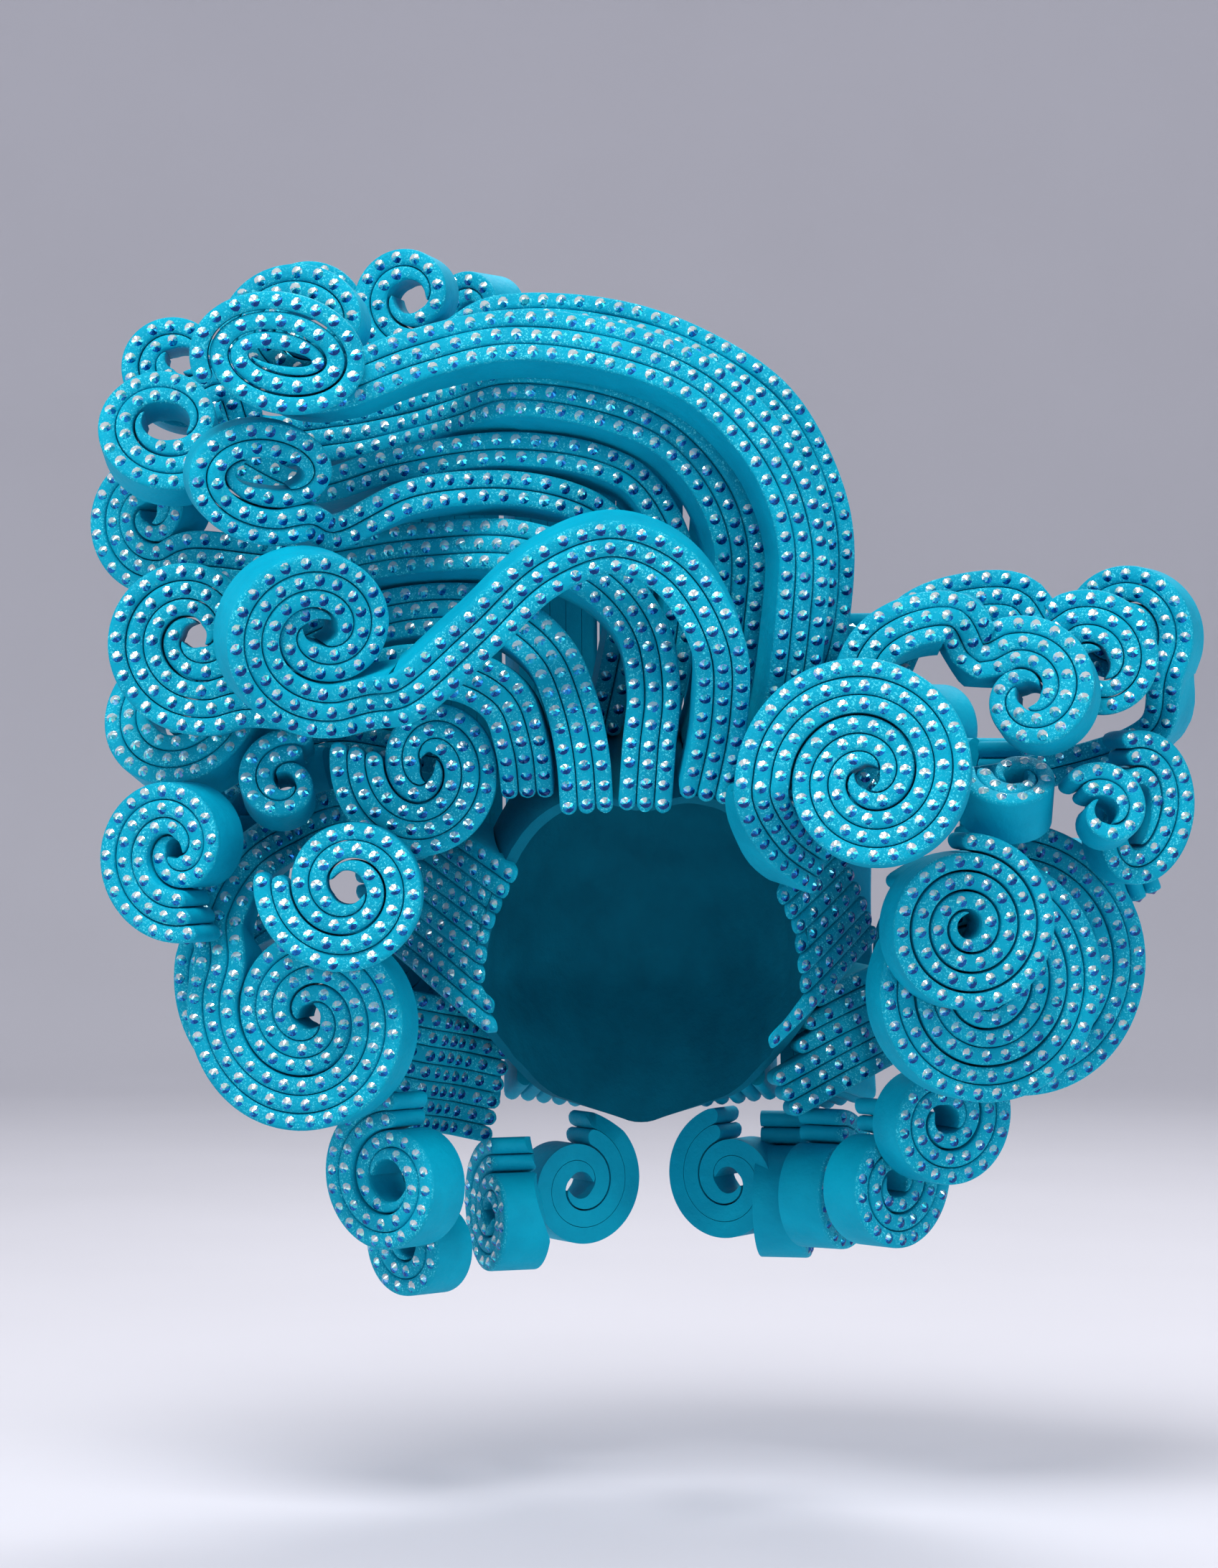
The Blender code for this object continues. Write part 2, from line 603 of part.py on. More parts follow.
def rest_move(item, line, laid, push_back):
    """How far along its line an object is moved so that it rests on what is laid."""
    if is_clear(item, line * 0, laid):
        step, limit, want = -COARSE_STEP, push_back, False
    else:
        step, limit, want = COARSE_STEP, PULL_OUT, True
    moved = 0.0
    while abs(moved) < limit and is_clear(item, line * (moved + step), laid) != want:
        moved += step
    if abs(moved) >= limit:
        return 0.0
    clear, blocked = (moved, moved + step) if step < 0 else (moved + step, moved)
    while abs(clear - blocked) > FINE_STEP:
        middle = (clear + blocked) / 2
        if is_clear(item, line * middle, laid):
            clear = middle
        else:
            blocked = middle
    return clear


def line_of_sight(place_row):
    """The line along which a lock is moved to its rest: towards the eye where the front shows it."""
    across, up, depth, turn, tilt = place_row
    face = facing(turn, tilt)
    if face[1] > SEEN_IN_FRONT:
        return face
    return unit(np.array([EYE_ACROSS, -EYE_DISTANCE, EYE_UP]) - place(across, up, depth))


def height_over(point, face, line, laid, reach):
    """How far a point has to come forward along the line to clear what is laid. Less than 0: room behind."""
    need = -PUSH_BACK
    start = Vector(point + face * reach)
    for tree, _, _, _, _ in laid:
        hit = tree.ray_cast(start, Vector(-face), reach + PUSH_BACK)
        if hit[0] is not None:
            need = max(need, (reach - hit[3] + REST_GAP) / max(np.dot(face, line), LEAST_ALONG))
    return need


def station_need(station, line, laid, reach):
    """How far one station has to come forward so that its back clears what is laid."""
    outer, inner, face = station
    back = [inner + (outer - inner) * share - face * STRIP_DEEP for share in BACK_SHARES]
    return max(height_over(point, face, line, laid, reach) for point in back)


def is_buried(station):
    """Whether a station lies at the root: its back reaches into the cap or the head."""
    middle = (station[0] + station[1]) / 2
    out = CAP_THICK + ROOT_DEEP
    across, along = middle[0] / (HEAD_WIDE + out), middle[1] / (HEAD_LONG + out)
    rise = max(middle[2] + HEAD_TALL, 0) / (HEAD_TALL + out)
    return across ** 2 + along ** 2 + rise ** 2 < 1


def lifts_of(tail, wound, line, laid, under):
    """How far each station of the tail is brought forward, and last the whole scroll."""
    crossed = [one for one in laid if one[4] not in under]
    needs = []
    for station in tail:
        need = 0.0 if is_buried(station) else station_need(station, line, crossed, NEAR_IN_FRONT)
        needs.append(max(need, 0.0))
    if wound:
        scroll_need = max(station_need(s, line, laid, FAR_IN_FRONT) for s in wound)
        needs.append(max(scroll_need, 0.0) if tail else max(scroll_need, -PUSH_BACK))
    if len(needs) == 1:
        return [needs[0] if needs[0] > -PUSH_BACK else 0.0]
    run = np.arange(len(needs)) * TAIL_STEP * STEEPEST_LIFT
    return [max(n - abs(run[i] - run[k]) for k, n in enumerate(needs)) for i in range(len(needs))]


def lifted(tail, wound, lifts, line):
    """All stations of a lock, brought forward. Lifts run along the tail, and the last is the scroll's."""
    moved = []
    if tail:
        at = np.linspace(0, 1, len(tail) + (1 if wound else 0))[:len(tail)]
        along = np.interp(at, np.linspace(0, 1, len(lifts)), lifts)
        moved = [(o + line * x, i + line * x, f) for (o, i, f), x in zip(tail, along)]
    return moved + [(o + line * lifts[-1], i + line * lifts[-1], f) for o, i, f in wound]


def keep(item, laid):
    """Add an object to what is laid."""
    tree, points = world_tree(item, Vector((0, 0, 0)))
    laid.append((tree, points, *box_of(points), item.name))


def slide_in(item, laid):
    """How an object that touches nothing is moved towards the head until it does."""
    middle = np.mean([v.co[:] for v in item.data.vertices], axis=0) / MM
    outward = unit(middle - np.array(HEAD_HEART))
    return outward * rest_move(item, outward, laid, PUSH_BACK)


def is_near(item, laid):
    """Whether an object has something laid close by."""
    return not is_clear(item, np.zeros(3), laid, NEAR_GAP)


def cut_by(item, cutter):
    """Cut an object where it would reach into the cap or the head."""
    cut = item.modifiers.new("seat", "BOOLEAN")
    cut.operation = "DIFFERENCE"
    cut.solver = "EXACT"
    cut.object = cutter


def lock_line(name):
    """The line along which a lock is laid, found at its scroll or at its root."""
    scroll = scroll_of(name)
    route = [row[1:] for row in ROUTES if row[0] == name]
    return line_of_sight(scroll[1:6] if scroll else route[0])


def add_lock(name, laid, seat):
    """Lay a lock: bent over what is laid along its tail, then moved as a whole until it rests clear."""
    line = lock_line(name)
    tail, wound, strips = lock_stations(name)
    lifts = lifts_of(tail, wound, line, laid[1:], PASSES_UNDER.get(name, []))
    stations = lifted(tail, wound, lifts, line)
    ribs = strips if name in RIBBED else 0
    material = foam_material(name + "_foam", FOAM_COLOUR, FOAM_ROUGH)
    item = add_object(name, loft([section(*s, ribs) for s in stations]), material)
    move = line * rest_move(item, line, laid[1:], 0.0 if tail else PUSH_BACK)
    shift(item, move)
    if not is_near(item, laid):
        shift(item, slide_in(item, laid))
    keep(item, laid)
    cut_by(item, seat)


def shift(item, move):
    item.data.transform(Matrix.Translation(Vector(move * MM)))


def build():
    for item in list(bpy.data.objects):
        bpy.data.objects.remove(item)
    seat = add_object("seat", seat_shape(), foam_material("seat", FOAM_COLOUR, FOAM_ROUGH))
    seat.hide_render = True
    seat.display_type = "WIRE"
    laid = []
    keep(add_object("cap", cap_shell(), foam_material("cap_foam", CAP_COLOUR, CAP_ROUGH)), laid)
    for name, *numbers in SWEEPS:
        rings = [section(*station, SWEEP_STRIPS) for station in sweep_stations(*numbers)]
        item = add_object(name, loft(rings), foam_material(name + "_foam", FOAM_COLOUR, FOAM_ROUGH))
        cut_by(item, seat)
        keep(item, laid)
    for name in LAY_ORDER:
        add_lock(name, laid, seat)


build()
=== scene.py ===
"""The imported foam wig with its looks: strips of foam and rows of stones in place of each lock's plain solid.

Lengths are millimetres and angles degrees, except on the stage, which is in metres. The wearer faces -Y, +X is
to the right in the front view and +Z is up.
"""
import math
from collections import namedtuple

import bmesh
import bpy
import numpy as np
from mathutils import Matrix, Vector
from mathutils.bvhtree import BVHTree
from mathutils.kdtree import KDTree


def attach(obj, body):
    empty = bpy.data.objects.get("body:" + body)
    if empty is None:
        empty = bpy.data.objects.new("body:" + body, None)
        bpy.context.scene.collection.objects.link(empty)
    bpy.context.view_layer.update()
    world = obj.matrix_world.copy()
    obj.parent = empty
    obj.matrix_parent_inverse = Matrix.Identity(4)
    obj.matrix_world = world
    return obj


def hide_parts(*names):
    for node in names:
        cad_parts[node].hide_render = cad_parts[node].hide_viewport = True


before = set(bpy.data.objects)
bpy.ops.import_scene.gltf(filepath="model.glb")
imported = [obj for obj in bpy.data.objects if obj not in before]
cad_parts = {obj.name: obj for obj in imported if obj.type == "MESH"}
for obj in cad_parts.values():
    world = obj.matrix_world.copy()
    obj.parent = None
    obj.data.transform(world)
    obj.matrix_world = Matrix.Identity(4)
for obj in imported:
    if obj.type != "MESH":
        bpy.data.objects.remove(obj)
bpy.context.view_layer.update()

MM = 0.001

# The values from here to SWEEP_PROFILE are those that the solids were made with, so that the strips follow them

# The foam strip that every lock is made of
STRIP_WIDE = 7.6
STRIP_DEEP = 22.0
TURN_GAP = 0.6
TURN_SEGMENTS = 10
TAIL_STEP = 22.5
LEAD_IN = 12.0
EYE_SHARE = 0.7
SMOOTH_STEPS = 8

# The hollow for the head and the cap round it
HEAD_WIDE = 75.0
HEAD_LONG = 95.0
HEAD_TALL = 115.0
NECK_TAPER = 0.0042
CAP_THICK = 5.0
CAP_ROW_BEND = 1.6
SEAT_BELOW = 5.0
HEAD_GAP = 1.0

# Places are read in the front view, on the upright plane through the middle of the head, and a depth behind
# it is given beside them. The eye is this far in front of that plane, at this place.
EYE_DISTANCE = 1900.0
EYE_ACROSS = -14.5
EYE_UP = -25.7

# How steeply a lock may be bent forward along its length, and how far forward a face looks that the front shows
STEEPEST_LIFT = 0.45
SEEN_IN_FRONT = -0.75

# The lower edge of the cap, at angles round the head from the front
CAP_EDGE = [
    # angle, up
    (0, -38),
    (20, -33),
    (40, -37),
    (55, -52),
    (62, -80),
    (66, -118),
    (80, -121),
    (95, -119),
    (110, -136),
    (135, -164),
    (180, -180),
]

# Scrolls. across, up, depth: the centre of the open eye. turn, tilt: where the face looks, from the front to
# the right and upwards. reach: from the centre to the outer edge where the tail joins, at the angle start.
# long, slant: extra half length and its direction. eye: radius left open. hand: 1 winds in anticlockwise,
# -1 clockwise. sink: how far each turn lies behind the one round it.
SCROLLS = [
    # name, across, up, depth, turn, tilt, reach, long, slant, eye, strips, start, hand, sink
    ("pompadour_1", -162, 109, -120, 12, -10, 30, 8, 0, 6, 2, -80, -1, 2),
    ("pompadour_2", -208, 133, -52, 0, 16, 32, 2, 0, 8, 2, -60, -1, 0),
    ("pompadour_3", -201, 160, -38, 0, 5, 31, 2, 0, 5, 3, -70, -1, 0),
    ("pompadour_4", -148, 175, -82, -8, 5, 38, 4, 0, 6, 3, -80, -1, 2),
    ("pompadour_5", -102, 187, -30, -12, 0, 29, 0, 0, 7, 2, -80, -1, 0),
    ("swoosh", -139, 40, -106, 20, -12, 45, 2, 0, 5, 3, -75, -1, 3),
    ("hairline_1", -198, 40, -80, 0, 0, 43, 0, 0, 5, 3, -75, -1, 2),
    ("hairline_2", -206, 10, -34, -20, 20, 42, 0, 0, 12, 3, -10, -1, 0),
    ("hairline_3", -216, 93, -36, -28, 0, 37, 0, 0, 4, 3, -70, -1, 0),
    ("curl_left_1", -157, 160, -84, 4, -6, 29.5, 9, -8, 3, 1, 205, -1, 1),
    ("curl_left_2", -151, 188, -16, 0, 0, 35, 0, 0, 6, 2, -60, -1, 0),
    ("curl_left_3", -78, 187, 12, -34, 0, 27, 0, 0, 5, 2, -80, -1, 0),
    ("curl_left_4", -94, -18, -88, 0, 0, 42, 3, 80, 3, 3, 165, 1, 2),
    ("curl_left_5", -156, -24, -60, 0, 18, 25, 0, 0, 4, 2, 60, 1, 0),
    ("curl_left_6", -207, -54, -56, -24, 0, 41, 0, 0, 4, 3, -70, -1, 4),
    ("curl_left_7", -129, -71, -88, 0, 0, 39.5, 0, 0, 7, 2, 170, 1, 0),
    ("curl_left_8", -148, -128, -60, -16, 0, 55, 0, 0, 5, 3, 165, 1, 2),
    ("curl_left_9", -165, -118, -28, -20, 0, 54, 0, 0, 22, 3, 165, 1, 0),
    ("curl_left_10", -113, -199, -24, -38, 0, 38, 0, 0, 9, 2, 80, 1, 2),
    ("curl_left_11", -88, -225, -4, -45, 0, 31, 0, 0, 5, 2, 80, 1, 0),
    ("curl_left_12", -66, -213, 20, -68, 0, 34, 0, 0, 5, 2, 80, 1, 0),
    ("curl_left_13", -124, -100, 66, -130, 0, 40, 0, 0, 6, 2, 80, 1, 0),
    ("curl_left_14", -118, 66, 14, -84, 0, 36, 0, 0, 5, 3, 90, 1, 0),
    ("curl_left_15", -128, -52, 30, -70, 0, 36, 0, 0, 5, 3, 90, 1, 0),
    ("curl_right_1", 98, -22, -108, -6, 4, 54, 0, 0, 5, 3, 176, -1, 2),
    ("curl_right_2", 168, 14, -80, -14, 12, 35, 0, 0, 5, 3, 112, -1, 0),
    ("curl_right_3", 198, 26, -54, -4, 0, 34, 0, 0, 6, 3, 118, -1, 0),
    ("curl_right_4", 208, 41, -20, -20, 0, 33, 0, 0, 8, 2, -20, 1, 0),
    ("curl_right_5", 162, -36, -58, 0, 52, 25, 0, 0, 5, 2, 160, 1, 0),
    ("curl_right_6", 203, -37, -32, 6, 12, 23, 0, 0, 5, 2, 140, -1, 0),
    ("curl_right_7", 219, -40, -20, 16, 0, 30, 8, 80, 5, 2, 110, -1, 0),
    ("curl_right_8", 143, -88, -74, 12, 0, 39.5, 0, 0, 5, 1, 95, -1, 0),
    ("curl_right_9", 149, -114, -52, 14, 0, 59, 0, 0, 6, 2, 130, -1, 0),
    ("curl_right_10", 164, -108, -30, 14, 0, 66, 0, 0, 23, 3, 110, -1, 0),
    ("curl_right_11", 133, -172, -20, 25, 0, 37, 0, 0, 6, 2, 100, -1, 0),
    ("curl_right_12", 112, -200, 16, 40, 0, 37, 0, 0, 6, 2, 100, -1, 0),
    ("curl_right_13", 88, -202, 56, 58, 0, 36, 0, 0, 6, 2, 100, -1, 0),
    ("curl_right_14", 64, -204, 88, 78, 0, 38, 0, 0, 6, 2, 100, -1, 0),
    ("curl_right_16", 108, 14, 6, 76, 0, 36, 0, 0, 5, 3, 90, -1, 0),
    ("curl_right_17", 150, -42, 12, 60, 0, 36, 0, 0, 5, 3, 90, -1, 0),
    ("curl_back_1", -128, 100, 56, -130, 0, 40, 0, 0, 6, 3, 0, -1, 0),
    ("curl_back_2", -134, -10, 66, -130, 0, 46, 0, 0, 6, 3, 0, -1, 0),
    ("curl_back_3", 134, -6, 66, 130, 0, 42, 0, 0, 6, 3, 180, 1, 0),
    ("curl_back_4", 130, -96, 70, 130, 0, 42, 0, 0, 6, 3, 180, 1, 0),
    ("curl_back_5", -48, -200, 100, -150, 0, 34, 0, 0, 6, 2, 100, 1, 0),
    ("curl_back_6", 48, -200, 100, 150, 0, 34, 0, 0, 6, 2, 80, -1, 0),
]

# The way of each lock from its root to its scroll, or to its tucked end where it has no scroll
ROUTES = [
    # name, across, up, depth, turn, tilt
    ("curl_left_8", -92, -50, -16, 0, 0),
    ("curl_left_8", -134, -40, -26, -4, 0),
    ("curl_left_8", -168, -56, -30, -8, 0),
    ("curl_left_8", -186, -84, -40, -12, 0),
    ("curl_left_9", -92, -14, 0, -10, 0),
    ("curl_left_9", -150, -6, -8, -10, 0),
    ("curl_left_9", -192, -24, -16, -14, 0),
    ("curl_left_9", -208, -64, -24, -18, 0),
    ("sideburn_right", 44, -122, -64, 36, 0),
    ("sideburn_right", 60, -106, -54, 37, 0),
    ("sideburn_right", 78, -88, -39, 42, 0),
    ("sideburn_right", 96, -70, -20, 48, 0),
    ("sideburn_left", -52, -107, -57, -36, 0),
    ("sideburn_left", -68, -94, -46, -37, 0),
    ("sideburn_left", -86, -80, -30, -42, 0),
    ("sideburn_left", -102, -68, -11, -50, 0),
    ("pompadour_4", 46, -34, -34, 12, 2),
    ("pompadour_4", 60, 6, -48, 14, 6),
    ("pompadour_4", 66, 44, -60, 14, 8),
    ("pompadour_4", 67, 84, -68, 12, 10),
    ("pompadour_4", 53, 120, -74, 8, 12),
    ("pompadour_4", 24, 150, -77, 4, 14),
    ("pompadour_4", -16, 166, -78, 0, 14),
    ("pompadour_4", -61, 170.5, -78, 0, 14),
    ("pompadour_4", -100, 162, -80, 0, 10),
    ("pompadour_3", -84, 138.5, -64, 0, 12),
    ("pompadour_3", -107, 132, -42, 0, 10),
    ("pompadour_3", -132, 127, -33, 0, 8),
    ("pompadour_3", -172, 126, -33, 0, 6),
    ("pompadour_2", 6, -10, -46, 10, 0),
    ("pompadour_2", 15, 36, -56, 12, 4),
    ("pompadour_2", 16, 74, -65, 10, 6),
    ("pompadour_2", 0, 105, -72, 6, 10),
    ("pompadour_2", -19, 115.5, -76, 2, 12),
    ("pompadour_2", -61, 121, -76, 0, 12),
    ("pompadour_2", -108, 114, -74, 0, 8),
    ("pompadour_2", -150, 104, -60, 0, 12),
    ("pompadour_1", -18, -8, -42, 6, 0),
    ("pompadour_1", -8, 38, -52, 8, 4),
    ("pompadour_1", -3, 70, -60, 6, 6),
    ("pompadour_1", -17, 91, -69, 4, 8),
    ("pompadour_1", -34, 99.5, -78, 2, 8),
    ("pompadour_1", -61, 103.7, -80, 0, 8),
    ("pompadour_1", -100, 100, -91, 0, 2),
    ("pompadour_1", -134, 84, -100, 8, -6),
    ("pompadour_5", 50, -22, 0, 20, 0),
    ("pompadour_5", 76, 20, -16, 22, 6),
    ("pompadour_5", 85, 60, -24, 22, 8),
    ("pompadour_5", 82, 100, -30, 18, 12),
    ("pompadour_5", 60, 142, -36, 10, 16),
    ("pompadour_5", 22, 168, -38, 4, 18),
    ("pompadour_5", -24, 181, -38, 0, 18),
    ("pompadour_5", -66, 180, -34, 0, 14),
    ("swoosh", 26, -33, -72, 6, 0),
    ("swoosh", 33, 3, -86, 4, -6),
    ("swoosh", 32, 34, -102, 2, -14),
    ("swoosh", 13, 66, -108, 0, -16),
    ("swoosh", -14, 77, -110, 0, -16),
    ("swoosh", -44, 66, -108, 0, -16),
    ("swoosh", -74, 38, -106, 4, -14),
    ("swoosh", -104, 12, -104, 10, -12),
    ("hairline_1", -52, -32, -64, -4, 0),
    ("hairline_1", -55, -8, -80, -4, 0),
    ("hairline_1", -62, 11, -82, -4, 0),
    ("hairline_1", -79, 22, -82, -2, 0),
    ("hairline_1", -108, 24, -79, 0, 0),
    ("hairline_1", -146, 11, -79, 0, 0),
    ("hairline_2", -24, -39, -76, 0, 0),
    ("hairline_2", -26, -13, -83, 0, 4),
    ("hairline_2", -31, 10, -83, 0, 6),
    ("hairline_2", -41, 32, -76, 0, 6),
    ("hairline_2", -62, 48, -68, 0, 8),
    ("hairline_2", -98, 50.5, -58, 0, 10),
    ("hairline_2", -140, 38.5, -48, 0, 8),
    ("hairline_3", 1, -38, -78, 0, 0),
    ("hairline_3", 3, -9, -84, 0, 4),
    ("hairline_3", 5, 16, -85, 0, 8),
    ("hairline_3", 0, 42, -86, 0, 8),
    ("hairline_3", -18, 64, -85, 0, 10),
    ("hairline_3", -52, 78, -82, 0, 12),
    ("hairline_3", -100, 77.6, -65.5, 0, 12),
    ("hairline_3", -150, 70, -54, 0, 10),
    ("curl_right_1", 80, -64, -56, 20, 0),
    ("curl_right_1", 64, -52, -82, 10, 0),
    ("curl_right_2", 92, -20, -76, 10, 0),
    ("curl_right_2", 93, 10, -80, 4, 4),
    ("curl_right_2", 101, 34, -80, 0, 8),
    ("curl_right_2", 117, 45, -80, 0, 12),
    ("curl_right_2", 137, 47, -80, -8, 14),
    ("curl_right_3", 78, -33, -50, 12, 0),
    ("curl_right_3", 98, -8, -56, 8, 4),
    ("curl_right_3", 106, 24, -58, 4, 8),
    ("curl_right_3", 118, 46, -58, 0, 10),
    ("curl_right_3", 139, 55, -56, -4, 8),
    ("curl_right_3", 164, 55, -54, -4, 4),
    ("curl_right_4", 46, -32, 30, 40, 0),
    ("curl_right_4", 112, -28, 22, 0, 0),
    ("curl_right_4", 170, -20, 6, -10, 0),
    ("curl_right_4", 222, -2, -12, -20, 0),
    ("nape_right", 54, -149, 43, 0, 0),
    ("nape_right", 85.5, -132, 47, 8, 0),
    ("nape_right", 108, -121, 54, 24, 0),
    ("curl_right_15", 240, -80, 2, 40, -50),
    ("curl_right_15", 228, -78, 34, 40, -50),
    ("curl_right_15", 200, -76, 66, 60, -40),
    ("nape_left", -54, -156, 42, 6, 0),
    ("nape_left", -82, -150, 34, 10, 0),
    ("nape_left", -112, -144, 26, 14, 0),
]

# Locks that run beside another over its first rows: how far inwards from it, and how far in front of it
BESIDE = [
    # name, guide, rows, inward, forward
    ("pompadour_3", "pompadour_4", 8, 25.4, 1.5),
]

# Strips side by side in the locks that have no scroll
LOCK_STRIPS = {"curl_right_15": 3, "nape_left": 8, "nape_right": 7, "sideburn_left": 9, "sideburn_right": 7}

# The locks that were laid one on another, from the back to the front
LAY_ORDER = [
    "nape_left", "nape_right", "sideburn_left", "sideburn_right", "curl_back_1", "curl_back_2",
    "curl_back_3", "curl_back_4", "curl_back_5", "curl_back_6", "curl_left_14", "curl_left_15",
    "curl_right_16", "curl_right_17", "curl_left_13", "curl_left_12", "curl_left_11", "curl_left_10",
    "curl_right_14", "curl_right_13", "curl_right_12", "curl_right_11", "curl_left_3", "pompadour_5",
    "curl_left_2", "pompadour_3", "pompadour_4", "hairline_3", "pompadour_2", "curl_left_1",
    "pompadour_1", "hairline_2", "curl_left_9", "curl_left_8", "curl_left_5", "hairline_1",
    "curl_left_6", "curl_left_4", "swoosh", "curl_left_7", "curl_right_10", "curl_right_9",
    "curl_right_4", "curl_right_7", "curl_right_15", "curl_right_8", "curl_right_6", "curl_right_5",
    "curl_right_3", "curl_right_2", "curl_right_1",
]

# Locks down the back of the head, side by side, each in an upright plane
SWEEP_STRIPS = 5
SWEEPS = [
    # name, across, turn, scale, high
    ("sweep_1", 0, 180, 1.0, 1.0),
    ("sweep_2", -45, 200, 0.95, 1.0),
    ("sweep_3", 45, 160, 0.95, 0.78),
    ("sweep_4", -92, 222, 0.8, 0.9),
    ("sweep_5", 92, 138, 0.8, 0.27),
]
SWEEP_PROFILE = [
    # depth, up, tilt
    (0, 163, 80),
    (34, 156, 62),
    (82, 118, 40),
    (112, 52, 16),
    (124, -36, 2),
    (122, -112, -6),
    (96, -172, -24),
]

# One strip of foam: the gap to the next strip, how far it stands higher or lower than its neighbours, and how
# far and over what length its face waves
STRIP_GAP = 0.25
STRIP_RISE = 0.55
WAVE_RISE = 0.4
WAVE_LONG = 70.0

# Its rounded ends: how long they are, how far they drop, at which shares of that length rows lie, and the least
# share of the width, squared
END_ROUND = 3.4
END_DROP = 1.4
END_SHARES = (0.0, 0.08, 0.25, 0.55)
END_LEAST = 0.02

# Its tip at the eye of a scroll: the width at which it stops, and how far from the eye the winding ends
TIP_WIDE = 1.5
TIP_LEFT = 0.4

# How finely strips are made: segments of a turn, steps of a tail, steps between stones, fewest rows of a strip
FINE_TURN = 72
FINE_TAIL = 4.0
STEPS_PER_STONE = 5
FEWEST_ROWS = 4

# Section of one strip from its outer side round to its inner side, and the columns of its stoned face
PROFILE = [
    # share of the half width, behind the face
    (1.0, 22.0),
    (1.0, 2.2),
    (0.96, 1.05),
    (0.86, 0.42),
    (0.48, 0.05),
    (0.0, 0.0),
    (-0.48, 0.05),
    (-0.86, 0.42),
    (-0.96, 1.05),
    (-1.0, 2.2),
    (-1.0, 22.0),
]
FACE_COLUMNS = slice(2, 9)

# The dimple under each stone: how deep it is, and its share in the columns of the profile
DIMPLE = 0.35
DIMPLE_SHARES = {4: 0.5, 5: 1.0, 6: 0.5}

# One stone: its radius, the step to the next one, the first one's distance from a strip's end, and how far it
# may lean and stand aside or ahead of its place
STONE_RADIUS = 2.55
STONE_STEP = 8.3
END_MARGIN = 4.0
STONE_LEAN = 0.09
STONE_ASIDE = 0.3
STONE_ALONG = 0.5

# A stone is left out where a strip's half width is less than its room, or where another lock lies this close
STONE_ROOM = 2.5
COVER_START = 0.6
COVER_NEAR = 3.0

# Rings of a cut stone from its rim to its table, as shares of its radius, and how far each is turned, in sides
STONE_RINGS = [
    # radius, height, turn
    (1.0, -0.15, 0.0),
    (1.0, 0.06, 0.0),
    (0.66, 0.27, 0.5),
    (0.17, 0.54, 0.0),
]
STONE_SIDES = 10

# How a station of a lock is found again among its solid's corners: how far off it is looked for, how well both
# its edges must fit, and how far beside its line it may lie
MOVE_REACH = 75.0
MATCH_WITHIN = 0.05
ASIDE_MOST = 40.0

# The room that strips leave outside the head where the cap is, and the halvings that find where they meet it
SEAT_ROOM = 6.2
SEAT_STEPS = 12

# The cap: how finely it is made, how far its crown sinks as a share of the head's height, the turns over which
# its edge is smoothed, and the seams of the gores that it is glued from
CAP_FINE_COLUMNS = 120
CAP_FINE_ROWS = 36
CAP_CROWN = 0.002
EDGE_TURNS = (-6, -3, 0, 3, 6)
GORES = 6
SEAM_WIDE = 1.6
SEAM_DEEP = 0.9

# Edges of the foam are drawn sharp from this angle on. The seed is that of all random draws.
SHARP_FOAM = 50.0
SEED = 7

# Colours of the foam, of the cap, which is painted darker as shade for the shadowed inside of the wig, and of
# the flecks, and the span of their roughness
FOAM_STOPS = [(0.3, (0.0, 0.335, 0.50)), (0.7, (0.0, 0.43, 0.61))]
FOAM_ROUGH = (0.5, 0.7)
# The cap's colours are painted shade: darker than the strips, so that the cap reads as the wig's shadowed
# inside
CAP_PAINTED_SHADE_STOPS = [(0.3, (0.0, 0.14, 0.22)), (0.7, (0.0, 0.19, 0.29))]
CAP_ROUGH = (0.7, 0.85)
# Specks of glitter glue on the stoned faces, painted lighter than the foam as glints
FLECK_GLINT_COLOUR = (0.10, 0.78, 0.90)
FOAM_SHINE = 0.1

# Noises of the foam's skin: scale, detail, roughness
CLOUD = (40.0, 3.0, 0.55)
GLINT_SPECKS = (1100.0, 2.0, 0.75)
GLINT_PATCHES = (150.0, 2.0, 0.6)
GRAIN = (900.0, 4.0, 0.7)
CREASE = (170.0, 3.0, 0.6)

# The values of a noise between which the specks of glitter glue with their painted glints, the clusters that
# they come in, and the rubbed grain come up
GLINT_SPECK_SPAN = (0.55, 0.64)
GLINT_PATCH_SPAN = (0.38, 0.56)
GRAIN_SPAN = (0.3, 0.7)

# The foam's bump: the share of the grain on the flanks and on the stoned edge, that of the creases, and how
# strong and deep it is, in metres
GRAIN_SHARES = (0.12, 0.75)
CREASE_SHARE = 0.8
BUMP_STRENGTH = 0.7
BUMP_DEEP = 0.0009

# The stones: the direction in which their facets are painted white as a highlight, how far facets and stones
# differ, how a facet's number is mixed from its direction and its stone, and their colours from dark blue,
# painted shade, through teal, violet and mint to white, painted highlight
PAINTED_HIGHLIGHT_TOWARD = (-0.30, 0.60, 0.74)
FACET_PLAY = 0.30
SPARK_PLAY = 0.16
FACET_MIX_X = 5.3
FACET_MIX_Z = 7.7
FACET_MIX_SPARK = 3.1
STONE_SHADE_TO_HIGHLIGHT_COLOURS = [
    (0.30, (0.0, 0.04, 0.20)),
    (0.50, (0.0, 0.16, 0.55)),
    (0.66, (0.0, 0.42, 0.60)),
    (0.80, (0.05, 0.70, 0.78)),
    (0.86, (0.30, 0.48, 1.0)),
    (0.92, (0.35, 1.0, 0.85)),
    (1.02, (0.92, 1.0, 1.0)),
]
STONE_METAL = 0.65
STONE_ROUGH = 0.12
STONE_SHINE = 0.5

